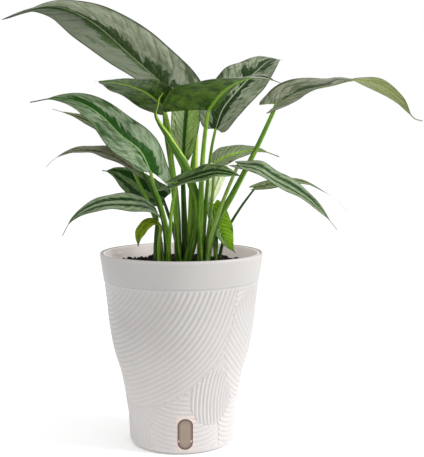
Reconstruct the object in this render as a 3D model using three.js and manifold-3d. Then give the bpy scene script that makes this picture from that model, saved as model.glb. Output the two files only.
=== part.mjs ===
// A leafy house plant in a flared self-watering planter.
// Millimetres, +Z up. The origin is the centre of the pot's flat base, and -Y is the front, with
// the water window.
import * as THREE from 'three';
import { mergeVertices } from 'three/addons/utils/BufferGeometryUtils.js';
import Module from 'manifold-3d';

const wasm = await Module();
wasm.setup();

// ---------- driving dimensions ----------
const CLEARANCE = 0.3;          // gap left between two pieces that touch
const TURN_SEGMENTS = 40;       // flats round each turned piece

const POT_HEIGHT = 200;
const POT_WALL = 3.2;
const POT_FLOOR = 3;
const BASE_RADIUS = 51;         // flat face that the pot stands on
const LEDGE_Z = 190;            // inside shoulder that carries the liner
const LEDGE_RADIUS = 81.9;      // inside radius above the shoulder
const BAND_Z = 171.5;           // lower edge of the smooth top band
const BAND_STEP = 0.4;          // how far the body is set back below the band
// Outside radius at each height, from foot to rim: [z, radius].
const POT_OUTLINE = [
  [6, 55.5], [16, 56], [30, 57], [37, 58], [54, 60.5], [62, 62], [77, 65], [90, 69],
  [104, 72.5], [125, 75.8], [150, 78.5], [165, 80.2], [185, 83.2], [197, 84.8],
];

const WINDOW_WIDTH = 15;        // pill-shaped water window, measured on the outside
const WINDOW_HEIGHT = 32;
const WINDOW_CENTRE_Z = 21.5;
const WINDOW_TURN = 3.2;        // degrees the window stands right of the front
const WINDOW_FLANGE = 1.2;      // how far the lens spreads behind the wall
const WINDOW_FLANGE_DEPTH = 1.6;

const LINER_WALL = 2.2;
const LINER_GAP = 1;            // space between the liner and the pot wall
const LINER_TOP_Z = 199.3;
const LINER_FLOOR_Z = 72;       // top of the liner's floor, above the water
const WELL_RADIUS = 15;         // wick well that reaches down into the water
const WELL_BOTTOM_Z = 9;
const DRAIN_RADIUS = 2.5;
const DRAIN_RING = 38;
const DRAIN_COUNT = 6;
const WELL_HOLE_RADIUS = 2;
const WELL_HOLE_RING = 8;
const WELL_HOLE_COUNT = 3;
const CATCH_TURN = 150;         // degrees from +X to the lift catch inside the rim
const CATCH_SIZE = [4, 9, 1.6];
const CATCH_Z = 193;

const SOIL_Z = 188;             // height of the soil where the stalks come out
const SOIL_EDGE_Z = 186;
const CROWN_DEPTH = 34;         // how far the crowns are sunk in the soil
const CROWN_RISE = 2;

const BLADE_THICKNESS = 1.2;
const BLADE_TIP = 0.7;          // half width of the very tip
const STALK_SIDES = 7;
const STALK_LENGTH_STEP = 18;   // distance between two rings of a stalk
const STALK_END = 1.2;          // how far a stalk runs on through its blade

// A crown is the short thick base that the leaf stalks of one shoot come out of.
const CROWNS = {
  left: { x: -18.5, y: -5, radius: 11 },
  middle: { x: 2.5, y: 6.5, radius: 10.8 },
  right: { x: 22, y: -3, radius: 9 },
  edge: { x: 38, y: 9, radius: 6 },
};

// Each leaf has a stalk from its foot in the crown to the neck, and a midrib from the neck to the
// tip. Its upper face looks along `up` at the neck and at the tip, and its right and left halves
// fold up by `fold` degrees. The other values are shares of the length or of half the width.
const LEAVES = [
  {
    name: 'leaf_top_left', shoot: 'middle', stalkRadius: [5.2, 2.2], grid: [18, 6],
    stalk: [[-3, 8, 190], [-5, 9, 240], [-10, 11, 290], [-16, 13, 330]],
    midrib: [
      [-17, 22, 372], [-52, 20, 403], [-93, 15, 438], [-126, 12, 452], [-153, 8, 449], [-182, 4, 438],
    ],
    half: [34, 36], up: [[0.3, -0.8, 0.6], [-0.2, -0.8, -0.5]], fold: [52, 27],
    lobe: [0.205, 0.135], drip: 0.18, belly: 0.14, neckWidth: 0.45, taper: 2.4,
    wave: 1, thread: 0.1,
  },
  {
    name: 'leaf_front_left', shoot: 'middle', stalkRadius: [4.3, 1.9], grid: [12, 6],
    stalk: [[-3, 4, 190], [-5.5, 1, 240], [-9.5, -0.5, 290], [-12.5, -3, 328]],
    midrib: [[-19, -9, 352.5], [-36, -27, 364], [-52, -48, 369], [-66, -66, 371], [-80, -84, 370]],
    half: [29, 27], up: [[0, 0.4, 0.9], [0.2, 0.3, 0.9]], fold: [3, 3],
    lobe: [0.2, 0.12], drip: 0.1, belly: 0.38, neckWidth: 0.45, taper: 2.4,
    wave: 0.8, thread: 0.05,
  },
  {
    name: 'leaf_front_right', shoot: 'right', stalkRadius: [4.2, 2], grid: [12, 6],
    stalk: [[19.5, -5, 190], [20, -7, 235], [21.5, -7, 285], [25, -7, 325]],
    midrib: [
      [28, -8, 346], [41, -35, 362], [53, -64, 370], [65, -91, 373], [76, -110, 372], [89, -124, 366],
    ],
    half: [52, 13], up: [[-0.3, 0.7, 0.6], [-0.2, -0.05, 0.95]], fold: [6, 20],
    lobe: [0.12, 0.05], drip: 0.06, belly: 0.2, neckWidth: 0.8, taper: 2,
    wave: 0.8, thread: 0.05,
  },
  {
    name: 'leaf_top_right', shoot: 'right', stalkRadius: [3.1, 1.5], grid: [16, 6],
    stalk: [[22, 3, 190], [24.5, 5, 235], [28, 7, 275], [32, 8, 308]],
    midrib: [[36, 8, 327], [44, 15, 348], [63, 24, 371], [80, 36, 388], [97, 54, 402], [113, 74, 404]],
    half: [23.5, 29], up: [[-0.3, -0.9, 0.3], [-0.4, -0.7, 0.5]], fold: [5, 7],
    lobe: [0.02, 0.02], drip: 0.06, belly: 0.46, neckWidth: 0.34, taper: 1.8,
    wave: 1, thread: 0.05,
  },
  {
    name: 'leaf_far_right', shoot: 'right', stalkRadius: [4.3, 2.2], grid: [18, 6],
    stalk: [[26.5, -1, 190], [35, 2, 225], [55, 1, 262], [77, -3, 305], [92, -6, 338]],
    midrib: [
      [98, -6, 352], [122, -2, 365], [154, -9, 372], [178, -10, 377], [205, -7, 372], [226, -9, 357],
      [239, -12, 338], [248, -12, 335],
    ],
    half: [14.5, 28], up: [[-0.05, -0.55, 0.8], [0.6, 0.5, 0.6]], fold: [10, 1],
    lobe: [0.09, 0.08], drip: 0.12, belly: 0.34, neckWidth: 0.45, taper: 1.9,
    wave: 1, thread: 0.05,
  },
  {
    name: 'leaf_left', shoot: 'left', stalkRadius: [3.5, 1.7], grid: [16, 6],
    stalk: [[-13.5, -9.5, 190], [-15, -19, 222], [-21, -21.5, 250], [-28, -20, 270]],
    midrib: [
      [-31, -18, 283], [-41, -26, 304], [-60, -33, 320], [-81, -38, 341], [-102, -42, 353],
      [-123, -43, 356], [-147, -46, 352],
    ],
    half: [23.5, 24], up: [[0.4, -0.8, 0.5], [0, -0.8, 0.6]], fold: [12, 8],
    lobe: [0.19, -0.07], drip: 0.15, belly: 0.25, neckWidth: 0.52, taper: 1.5,
    wave: 1, thread: 0.05,
  },
  {
    name: 'leaf_left_behind', shoot: 'left', stalkRadius: [2.9, 1.6], grid: [12, 4],
    stalk: [[-16, 3, 190], [-20, 8, 235], [-34, 12, 270]],
    midrib: [[-54, 17, 302], [-69, 11, 314], [-86, 4, 329], [-109, -3, 340], [-131, -8, 347]],
    half: [14, 14], up: [[0.3, -0.6, 0.7], [0, -0.4, 0.9]], fold: [8, 10],
    lobe: [0.1, 0.1], drip: 0.14, belly: 0.3, neckWidth: 0.45, taper: 1.8,
    wave: 0.8, thread: 0.05,
  },
  {
    name: 'leaf_left_middle', shoot: 'left', stalkRadius: [2.7, 1.6], grid: [14, 4],
    stalk: [[-20, 0, 190], [-24, 3, 222], [-34, 3, 250], [-43, -1, 270]],
    midrib: [
      [-50, -5, 285], [-71, -10, 299], [-91, -11, 304], [-114, -14, 303], [-129, -16, 296],
      [-137, -17, 288],
    ],
    half: [19, 19], up: [[-0.1, -0.3, 0.9], [-0.2, -0.2, 0.9]], fold: [7, 9],
    lobe: [0.1, 0.1], drip: 0.2, belly: 0.29, neckWidth: 0.45, taper: 1.8,
    wave: 0.8, thread: 0.05,
  },
  {
    name: 'leaf_left_dark', shoot: 'middle', stalkRadius: [3.8, 1.6], grid: [10, 4],
    stalk: [[-2, 11, 190], [-8, 20, 220], [-15, 27, 240]],
    midrib: [[-19, 28, 252], [-38, 33, 257], [-56, 35, 271], [-71, 36, 280.5], [-85, 38, 283]],
    half: [22, 22], up: [[0.3, -0.7, 0.6], [0.1, -0.8, 0.6]], fold: [13, 20],
    lobe: [0.06, 0.06], drip: 0.08, belly: 0.3, neckWidth: 0.45, taper: 1.8,
    wave: 0.8, thread: 0.05,
  },
  {
    name: 'leaf_low_left', shoot: 'left', stalkRadius: [3.8, 1.7], grid: [14, 4],
    stalk: [[-26, -4, 190], [-26, -6, 215], [-25, -10, 233]],
    midrib: [
      [-26, -14, 242], [-37, -24, 250], [-60, -33, 253], [-79, -38, 252], [-97, -40, 245],
      [-110, -43, 235], [-118, -44, 221],
    ],
    half: [17, 17], up: [[0.1, -0.5, 0.9], [-0.3, -0.4, 0.9]], fold: [5, 3],
    lobe: [0.03, 0.03], drip: 0.15, belly: 0.3, neckWidth: 0.45, taper: 1.8,
    wave: 0.8, thread: 0.05,
  },
  {
    name: 'leaf_curled', shoot: 'left', stalkRadius: [2.6, 1.5], grid: [10, 4],
    stalk: [[-23, -9, 190], [-23, -13, 212], [-21, -16, 226]],
    midrib: [[-24, -18, 232], [-32, -21, 232], [-39, -24, 226], [-43, -26, 218], [-44, -27, 208]],
    half: [7, 7], up: [[-0.2, -0.6, 0.8], [-0.6, -0.7, 0.1]], fold: [10, 5],
    lobe: [0.04, 0.04], drip: 0.06, belly: 0.47, neckWidth: 0.45, taper: 1.8,
    wave: 0.4, thread: 0.05,
  },
  {
    name: 'leaf_front', shoot: 'left', stalkRadius: [2.8, 1.5], grid: [14, 4],
    stalk: [[-14.5, -12, 190], [-12, -23, 218], [-9, -29, 250]],
    midrib: [[-4, -34, 273], [14, -43, 279], [34, -48, 284], [46, -50, 283], [60, -51, 280]],
    half: [14, 14], up: [[0.1, -0.5, 0.8], [0, -0.6, 0.8]], fold: [11, 10],
    lobe: [0.33, 0.24], drip: 0.04, belly: 0.37, neckWidth: 0.45, taper: 1.8,
    wave: 0.6, thread: 0.05,
  },
  {
    name: 'leaf_right_folded', shoot: 'right', stalkRadius: [2.6, 1.4], grid: [12, 4],
    stalk: [[24, 3, 190], [29, 3.5, 225], [33, 6, 262]],
    midrib: [
      [34.5, 9, 291], [43, 10, 295.5], [55.5, 13, 300.5], [68, 17, 303.5], [79, 20, 305], [90, 21, 303],
      [104, 22, 298],
    ],
    half: [8, 13], up: [[0, -0.8, 0.5], [0, -0.7, 0.6]], fold: [5, 5],
    lobe: [0.03, 0.03], drip: 0.2, belly: 0.2, neckWidth: 0.2, taper: 1.3,
    wave: 0.6, thread: 0.05,
  },
  {
    name: 'leaf_right_drooping', shoot: 'right', stalkRadius: [2.9, 1.8], grid: [14, 4],
    stalk: [[26, -6, 190], [31, -9, 218], [41, -13, 248], [52, -16, 276]],
    midrib: [
      [58, -18, 290], [77, -27, 287], [95, -30, 276], [112, -32, 267], [128, -36, 256], [143, -38, 242],
      [156, -41, 226],
    ],
    half: [14.5, 17], up: [[0.3, -0.4, 0.8], [0.5, -0.5, 0.7]], fold: [4, 6],
    lobe: [0.06, 0.06], drip: 0.12, belly: 0.3, neckWidth: 0.45, taper: 1.8,
    wave: 0.8, thread: 0.05,
  },
  {
    name: 'leaf_right_low', shoot: 'edge', stalkRadius: [2.3, 1.2], grid: [14, 4],
    stalk: [[40, 11, 190], [48, 24.5, 217], [63, 19, 244]],
    midrib: [
      [78, 8, 266], [95, 12, 269], [116, 16, 272.5], [134, 18, 270], [152, 20, 261], [167, 21, 251],
      [178, 22, 238],
    ],
    half: [10, 10], up: [[-0.1, -0.4, 0.9], [0.3, 0, 0.95]], fold: [3, 3],
    lobe: [0.06, 0.06], drip: 0.3, belly: 0.24, neckWidth: 0.25, taper: 1.8,
    wave: 0.5, thread: 0.05,
  },
  {
    name: 'leaf_right_hanging', shoot: 'edge', stalkRadius: [2.6, 1.5], grid: [9, 4],
    stalk: [[36, 7, 190], [37, 11.5, 212], [35, 17.5, 236]],
    midrib: [[33, 20, 247], [37, 19.5, 236], [41.5, 16.5, 221], [49, 10, 205], [57, 5, 197]],
    half: [13, 14], up: [[0.3, -0.7, 0.6], [0.8, -0.6, 0.2]], fold: [6, 26],
    lobe: [0.06, 0.06], drip: 0.06, belly: 0.45, neckWidth: 0.45, taper: 1.8,
    wave: 0.4, thread: 0.05,
  },
  {
    name: 'leaf_centre_back', shoot: 'middle', stalkRadius: [4.8, 2.2], grid: [10, 4],
    stalk: [[4, 12, 190], [3, 19, 240], [2, 21, 275]],
    midrib: [[2, 22, 292], [3, 24, 315], [5, 26, 340], [7, 27, 362], [10, 28, 381]],
    half: [16, 16], up: [[0, -1, 0.1], [0, -1, 0.1]], fold: [15, 15],
    lobe: [0, 0], drip: 0.1, belly: 0.6, neckWidth: 0.08, taper: 1.8,
    wave: 0.6, thread: 0.05,
  },
  {
    name: 'leaf_pale_back', shoot: 'edge', stalkRadius: [2.2, 1.3], grid: [10, 4],
    stalk: [[36, 12, 190], [34, 20, 215], [31, 26, 235]],
    midrib: [[30, 28, 247], [36, 30, 262], [42, 32, 277], [47, 35, 292], [52, 38, 303]],
    half: [9, 6], up: [[-0.1, 0.95, 0.2], [-0.1, 0.95, 0.2]], fold: [8, 8],
    lobe: [0, 0], drip: 0.1, belly: 0.62, neckWidth: 0.15, taper: 1.8,
    wave: 0.4, thread: 0.05,
  },
];

// A spear is a young leaf still rolled up: a tapering closed tube on a stalk of its own. Its radii
// are spaced evenly from the root to the tip.
const SPEARS = [
  {
    shoot: 'middle', radius: [5.2, 5, 4.7, 4.8, 5.2, 3.8, 1.7, 0.7],
    line: [
      [6.6, 3.6, 190], [13, 2.2, 215], [17.5, 1, 239], [16.5, 0, 253], [11.6, -1, 267], [7, -2, 281],
      [0.4, -4, 295], [-8.4, -7, 310], [-16, -10, 323], [-22.5, -15, 333], [-26, -22, 342],
      [-23.5, -29, 350], [-21.5, -36, 357.5], [-18, -41, 361.5],
    ],
  },
  {
    shoot: 'middle', radius: [3.2, 3.2, 3.4, 3.8, 4.2, 0.8],
    line: [[8, 8, 190], [10, 7, 240], [13, 6, 288], [17, 7, 322]],
  },
];

const COLOURS = {
  pot: { color: 0xe3e0dc, roughness: 0.42, metalness: 0 },
  liner: { color: 0xe0d5cf, roughness: 0.5, metalness: 0 },
  window: { color: 0x6b5c50, roughness: 0.15, metalness: 0 },
  soil: { color: 0x2b211a, roughness: 0.95, metalness: 0 },
  stalk: { color: 0x5f8a2f, roughness: 0.45, metalness: 0 },
  leaf: { color: 0x8fa388, roughness: 0.4, metalness: 0 },
  freshLeaf: { color: 0x86b04a, roughness: 0.42, metalness: 0 },
};
const FRESH_LEAVES = ['leaf_curled', 'leaf_right_hanging', 'leaf_pale_back'];

// ---------- solids ----------
const group = new THREE.Group();

function toSolid(geometry) {
  const bare = geometry.clone();
  bare.deleteAttribute('normal');
  bare.deleteAttribute('uv');
  const merged = mergeVertices(bare, 1e-4);
  return new wasm.Manifold(new wasm.Mesh({
    numProp: 3,
    vertProperties: merged.attributes.position.array,
    triVerts: new Uint32Array(merged.index.array),
  }));
}

function addNode(name, solid, look) {
  const mesh = solid.getMesh();
  const geometry = new THREE.BufferGeometry();
  geometry.setAttribute('position', new THREE.BufferAttribute(mesh.vertProperties, 3));
  geometry.setIndex(new THREE.BufferAttribute(mesh.triVerts, 1));
  geometry.computeVertexNormals();
  const node = new THREE.Mesh(geometry, new THREE.MeshStandardMaterial(look));
  node.name = name;
  group.add(node);
}

const vector = ([x, y, z]) => new THREE.Vector3(x, y, z);
const radians = THREE.MathUtils.degToRad;

// A closed surface from its points and its triangles.
function meshSolid(points, triangles) {
  const geometry = new THREE.BufferGeometry();
  const numbers = points.flatMap((point) => point.toArray());
  geometry.setAttribute('position', new THREE.Float32BufferAttribute(numbers, 3));
  geometry.setIndex(triangles);
  return toSolid(geometry);
}

// A closed [radius, z] outline turned about the pot's axis.
function turned(outline, segments = TURN_SEGMENTS) {
  const points = outline.map(([radius, z]) => new THREE.Vector2(radius, z));
  const geometry = new THREE.LatheGeometry(points, segments);
  geometry.rotateX(Math.PI / 2);
  return toSolid(geometry);
}

// An upright round bar between two heights.
function bar(x, y, radius, bottom, top, segments = 24) {
  const geometry = new THREE.CylinderGeometry(radius, radius, top - bottom, segments);
  geometry.rotateX(Math.PI / 2);
  geometry.translate(x, y, (bottom + top) / 2);
  return toSolid(geometry);
}

// A grid of points closed into a solid: `rings` are equal loops, and both ends get a flat cap.
function lofted(rings) {
  const count = rings[0].length;
  const points = rings.flat();
  const triangles = [];
  for (let i = 0; i + 1 < rings.length; i += 1) {
    for (let j = 0; j < count; j += 1) {
      const a = i * count + j;
      const b = i * count + ((j + 1) % count);
      triangles.push(a, b, b + count, a, b + count, a + count);
    }
  }
  for (let j = 1; j + 1 < count; j += 1) {
    const last = (rings.length - 1) * count;
    triangles.push(0, j + 1, j);
    triangles.push(last, last + j, last + j + 1);
  }
  return meshSolid(points, triangles);
}

// A round stalk along a smooth curve, with its radius read at each share of the length.
function stalkAlong(curve, radiusAt) {
  const steps = Math.max(3, Math.round(curve.getLength() / STALK_LENGTH_STEP));
  const frames = curve.computeFrenetFrames(steps, false);
  const rings = [];
  for (let i = 0; i <= steps; i += 1) {
    const centre = curve.getPointAt(i / steps);
    const radius = radiusAt(i / steps);
    const ring = [];
    for (let j = 0; j < STALK_SIDES; j += 1) {
      const turn = (j / STALK_SIDES) * 2 * Math.PI;
      const spoke = frames.normals[i].clone().multiplyScalar(Math.cos(turn) * radius);
      spoke.addScaledVector(frames.binormals[i], Math.sin(turn) * radius);
      ring.push(spoke.add(centre));
    }
    rings.push(ring);
  }
  return lofted(rings);
}

// ---------- the pot ----------
const potPoints = POT_OUTLINE.map(([z, radius]) => new THREE.Vector2(radius, z));
const potCurve = new THREE.SplineCurve(potPoints);
const potLine = potCurve.getPoints(28);

// Outside radius of the pot at a height.
function potRadius(z) {
  let i = 1;
  while (i + 1 < potLine.length && potLine[i].y < z) {
    i += 1;
  }
  const low = potLine[i - 1];
  const high = potLine[i];
  return THREE.MathUtils.lerp(low.x, high.x, (z - low.y) / (high.y - low.y));
}

// Points of the pot's outline between two heights, moved inwards by `inset`.
function wallPoints(bottom, top, inset, count) {
  const points = [];
  for (let i = 0; i <= count; i += 1) {
    const z = THREE.MathUtils.lerp(bottom, top, i / count);
    points.push([potRadius(z) - inset, z]);
  }
  return points;
}

// A pill-shaped bar that points through the front wall, grown by `spread` all round.
function pill(spread, inner, outer) {
  const radius = WINDOW_WIDTH / 2 + spread;
  const straight = (WINDOW_HEIGHT - WINDOW_WIDTH) / 2;
  const shape = new THREE.Shape();
  shape.absarc(0, straight, radius, 0, Math.PI, false);
  shape.absarc(0, -straight, radius, Math.PI, 2 * Math.PI, false);
  shape.closePath();
  const options = { depth: outer - inner, bevelEnabled: false, curveSegments: 7 };
  const geometry = new THREE.ExtrudeGeometry(shape, options);
  geometry.translate(0, 0, inner);
  geometry.rotateX(Math.PI / 2);
  geometry.translate(0, 0, WINDOW_CENTRE_Z);
  geometry.rotateZ(radians(WINDOW_TURN));
  return toSolid(geometry);
}

const outerBottom = [[0, 0], [BASE_RADIUS, 0], [53.6, 0.9], [54.9, 2.8]];
const outerBody = wallPoints(6, BAND_Z - 1.2, BAND_STEP, 9);
const outerBand = wallPoints(BAND_Z, 197, 0, 1);
const outerLip = [
  [84.9, 198.7], [84.2, 199.7], [83.2, POT_HEIGHT], [82.4, 199.7], [LEDGE_RADIUS, 198.9],
];
const outerLedge = [[LEDGE_RADIUS, LEDGE_Z], [potRadius(LEDGE_Z) - POT_WALL - BAND_STEP, LEDGE_Z]];
const outerInside = wallPoints(POT_FLOOR, LEDGE_Z - 2, POT_WALL + BAND_STEP, 6).reverse();
const outerFloor = [[0, POT_FLOOR]];
const potShell = turned([
  ...outerBottom, ...outerBody, ...outerBand, ...outerLip,
  ...outerLedge, ...outerInside, ...outerFloor,
]);
addNode('outer_pot', potShell.subtract(pill(CLEARANCE, 40, 70)), COLOURS.pot);

const linerOutset = POT_WALL + BAND_STEP + LINER_GAP;
const linerFoot = LINER_FLOOR_Z - 2.6;
const linerOutside = wallPoints(linerFoot + 4, LEDGE_Z - 2, linerOutset, 4);
const collarRadius = LEDGE_RADIUS - CLEARANCE;
const linerCollar = [
  [potRadius(LEDGE_Z) - linerOutset, LEDGE_Z + CLEARANCE], [collarRadius, LEDGE_Z + CLEARANCE],
  [collarRadius, LINER_TOP_Z - 0.5], [collarRadius - 0.5, LINER_TOP_Z], [80, LINER_TOP_Z],
  [79.4, LINER_TOP_Z - 0.8],
];
const linerInside = wallPoints(LINER_FLOOR_Z + 4, LEDGE_Z - 2, linerOutset + LINER_WALL, 4).reverse();
const wellInner = WELL_RADIUS - LINER_WALL;
const linerShell = turned([
  [0, WELL_BOTTOM_Z], [WELL_RADIUS - 1, WELL_BOTTOM_Z], [WELL_RADIUS, WELL_BOTTOM_Z + 1],
  [WELL_RADIUS, linerFoot], [potRadius(linerFoot) - linerOutset - 4, linerFoot],
  ...linerOutside, ...linerCollar, ...linerInside,
  [potRadius(LINER_FLOOR_Z) - linerOutset - LINER_WALL - 4, LINER_FLOOR_Z], [wellInner, LINER_FLOOR_Z],
  [wellInner, WELL_BOTTOM_Z + 2.5], [0, WELL_BOTTOM_Z + 2.5],
]);
let liner = linerShell;
for (let i = 0; i < DRAIN_COUNT; i += 1) {
  const turn = (i / DRAIN_COUNT) * 2 * Math.PI;
  const x = DRAIN_RING * Math.cos(turn);
  const y = DRAIN_RING * Math.sin(turn);
  const hole = bar(x, y, DRAIN_RADIUS, 60, 80, 12);
  liner = liner.subtract(hole);
}
for (let i = 0; i < WELL_HOLE_COUNT; i += 1) {
  const turn = (i / WELL_HOLE_COUNT) * 2 * Math.PI;
  const x = WELL_HOLE_RING * Math.cos(turn);
  const y = WELL_HOLE_RING * Math.sin(turn);
  const hole = bar(x, y, WELL_HOLE_RADIUS, 5, 15, 10);
  liner = liner.subtract(hole);
}
const catchShape = new THREE.BoxGeometry(...CATCH_SIZE);
catchShape.translate(potRadius(CATCH_Z) - linerOutset - LINER_WALL + 0.6, 0, CATCH_Z);
catchShape.rotateZ(radians(CATCH_TURN));
addNode('inner_pot', liner.add(toSolid(catchShape)), COLOURS.liner);

// A ring of the pot's wall between two depths behind its outer face, as high as the window.
function wallRing(front, back) {
  const top = WINDOW_CENTRE_Z + WINDOW_HEIGHT / 2 + 6;
  const outside = wallPoints(1, top, front, 4);
  const inside = wallPoints(1, top, back, 4).reverse();
  return turned([...outside, ...inside, outside[0]]);
}

// The lens is a plug through the wall with a wider flange that bears on the wall's inner face.
const wallBack = POT_WALL + BAND_STEP + CLEARANCE;
const flangeBack = wallBack + WINDOW_FLANGE_DEPTH;
const lensPlug = wallRing(BAND_STEP, flangeBack).intersect(pill(0, 40, 70));
const lensFlange = wallRing(wallBack, flangeBack).intersect(pill(WINDOW_FLANGE, 40, 70));
addNode('water_window', lensPlug.add(lensFlange), COLOURS.window);

// The potting mix fills the liner and its wick well, and has one plain hole for each crown.
const soilInset = linerOutset + LINER_WALL + CLEARANCE;
const soilWell = wellInner - CLEARANCE;
const soilWellZ = WELL_BOTTOM_Z + 2.5 + CLEARANCE;
const soilFloorZ = LINER_FLOOR_Z + CLEARANCE;
const soilFloor = potRadius(LINER_FLOOR_Z) - soilInset - 4;
let soil = turned([
  [0, soilWellZ], [soilWell, soilWellZ], [soilWell, soilFloorZ], [soilFloor, soilFloorZ],
  ...wallPoints(LINER_FLOOR_Z + 4.2, SOIL_EDGE_Z, soilInset, 4),
  [60, SOIL_Z - 0.8], [48, SOIL_Z], [0, SOIL_Z],
]);
for (const { x, y, radius } of Object.values(CROWNS)) {
  const hole = bar(x, y, radius + CLEARANCE, SOIL_Z - CROWN_DEPTH - CLEARANCE, SOIL_Z + 10);
  soil = soil.subtract(hole);
}
addNode('soil', soil, COLOURS.soil);

// ---------- the leaves ----------
// Share of half the width at share u of the length: it swells from the neck to the belly, then
// narrows to a drip tip that stays a thin thread.
function widthShare(leaf, u) {
  const { belly, drip, neckWidth, taper, thread } = leaf;
  if (u < belly) {
    return neckWidth + (1 - neckWidth) * Math.sqrt(1 - (1 - u / belly) ** 2);
  }
  const t = (u - belly) / (1 - belly);
  const blade = Math.max(0, 1 - (t / (1 - drip)) ** taper);
  return Math.hypot(blade, thread * Math.sqrt(Math.max(0, 1 - t ** 4)));
}

// Point of the blade's middle surface: u runs from neck to tip, v from the left margin (-1) over
// the midrib (0) to the right margin (1). The lobes are rows drawn back towards the stalk.
function bladePoint(leaf, u, v) {
  const side = Math.sign(v);
  const reach = Math.abs(v);
  const lobe = side > 0 ? leaf.lobe[0] : leaf.lobe[1];
  const s = u - lobe * reach ** 1.4 * Math.max(0, 1 - 2 * u) ** 2;
  const held = THREE.MathUtils.clamp(s, 0, 1);
  const tangent = leaf.curve.getTangentAt(held);
  const point = leaf.curve.getPointAt(held);
  point.addScaledVector(tangent, Math.min(0, s) * leaf.curve.getLength());
  const up = vector(leaf.up[0]).lerp(vector(leaf.up[1]), held * held * (3 - 2 * held));
  const across = tangent.clone().cross(up).normalize();
  const normal = across.clone().cross(tangent);
  const share = widthShare(leaf, u);
  const half = side > 0 ? leaf.half[0] : leaf.half[1];
  const width = Math.max(half * share, BLADE_TIP) * reach;
  const fold = radians(side > 0 ? leaf.fold[0] : leaf.fold[1]);
  const wave = leaf.wave * reach ** 2 * Math.sin(2 * Math.PI * (3.2 * u + 0.25 * side)) * share;
  point.addScaledVector(across, side * width * Math.cos(fold));
  return point.addScaledVector(normal, width * Math.sin(fold) + wave);
}

// The blade as a thin solid: an upper and a lower sheet, split into triangles alike.
function bladeSolid(leaf) {
  const [rows, columns] = leaf.grid;
  const upper = [];
  const lower = [];
  for (let i = 0; i <= rows; i += 1) {
    for (let j = 0; j <= columns; j += 1) {
      const u = i / rows;
      const v = (2 * j) / columns - 1;
      const point = bladePoint(leaf, u, v);
      const along = bladePoint(leaf, Math.min(1, u + 0.01), v);
      along.sub(bladePoint(leaf, Math.max(0, u - 0.01), v));
      const across = bladePoint(leaf, u, Math.min(1, v + 0.05));
      across.sub(bladePoint(leaf, u, Math.max(-1, v - 0.05)));
      const normal = across.cross(along).normalize().multiplyScalar(BLADE_THICKNESS / 2);
      upper.push(point.clone().add(normal));
      lower.push(point.clone().sub(normal));
    }
  }
  const points = [...upper, ...lower];
  const half = upper.length;
  const at = (i, j) => i * (columns + 1) + j;
  const triangles = [];
  for (let i = 0; i < rows; i += 1) {
    for (let j = 0; j < columns; j += 1) {
      const a = at(i, j);
      const b = at(i, j + 1);
      const c = at(i + 1, j + 1);
      const d = at(i + 1, j);
      const mirrored = j < columns / 2;
      const faces = mirrored ? [a, b, d, b, c, d] : [a, b, c, a, c, d];
      triangles.push(...faces);
      for (let k = 0; k < 6; k += 3) {
        triangles.push(faces[k] + half, faces[k + 2] + half, faces[k + 1] + half);
      }
    }
  }
  const rim = [];
  for (let j = 0; j < columns; j += 1) {
    rim.push(at(0, j));
  }
  for (let i = 0; i < rows; i += 1) {
    rim.push(at(i, columns));
  }
  for (let j = columns; j > 0; j -= 1) {
    rim.push(at(rows, j));
  }
  for (let i = rows; i > 0; i -= 1) {
    rim.push(at(i, 0));
  }
  rim.forEach((a, k) => {
    const b = rim[(k + 1) % rim.length];
    triangles.push(b, a, a + half, b, a + half, b + half);
  });
  return meshSolid(points, triangles);
}

// Each stalk starts half way to the middle of its crown, deep in the soil.
function rootOf(shoot, [x, y]) {
  const crown = CROWNS[shoot];
  return new THREE.Vector3((x + crown.x) / 2, (y + crown.y) / 2, SOIL_Z - CROWN_DEPTH / 2);
}

// The stalk runs from inside the crown up to the neck and a little way on through the blade.
function stalkSolid(leaf, spread) {
  const neck = vector(leaf.midrib[0]);
  const last = vector(leaf.stalk.at(-1));
  const end = neck.clone().add(neck.clone().sub(last).setLength(STALK_END + spread));
  const root = rootOf(leaf.shoot, leaf.stalk[0]);
  const points = [root, ...leaf.stalk.map(vector), neck, end];
  const curve = new THREE.CatmullRomCurve3(points, false, 'centripetal');
  const [low, high] = leaf.stalkRadius;
  return stalkAlong(curve, (t) => THREE.MathUtils.lerp(low, high, t) + spread);
}

const shoots = {};
for (const [name, { x, y, radius }] of Object.entries(CROWNS)) {
  shoots[name] = bar(x, y, radius, SOIL_Z - CROWN_DEPTH, SOIL_Z + CROWN_RISE, 20);
}
for (const { shoot, line, radius } of SPEARS) {
  const points = [rootOf(shoot, line[0]), ...line.map(vector)];
  const curve = new THREE.CatmullRomCurve3(points, false, 'centripetal');
  const spear = stalkAlong(curve, (t) => {
    const step = Math.min(Math.floor(t * (radius.length - 1)), radius.length - 2);
    return THREE.MathUtils.lerp(radius[step], radius[step + 1], t * (radius.length - 1) - step);
  });
  shoots[shoot] = shoots[shoot].add(spear);
}
for (const leaf of LEAVES) {
  leaf.curve = new THREE.CatmullRomCurve3(leaf.midrib.map(vector), false, 'centripetal');
  const blade = bladeSolid(leaf).subtract(stalkSolid(leaf, CLEARANCE));
  const look = FRESH_LEAVES.includes(leaf.name) ? COLOURS.freshLeaf : COLOURS.leaf;
  addNode(leaf.name, blade, look);
  shoots[leaf.shoot] = shoots[leaf.shoot].add(stalkSolid(leaf, 0));
}
for (const [name, solid] of Object.entries(shoots)) {
  addNode(`shoot_${name}`, solid, COLOURS.stalk);
}

export default group;
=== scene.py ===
"""Visual model of a leafy house plant in a flared self-watering planter.

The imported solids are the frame. Each piece here is a surface worked out with numpy in millimetres,
in the frame of those solids: +Z is up, -Y is the front, and the origin is the centre of the base.
"""
import logging
import math
from collections.abc import Callable
from dataclasses import dataclass, field
from enum import Enum
from functools import cache
from typing import Any

import bmesh
import bpy
import numpy as np
from mathutils import Matrix, Vector


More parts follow.
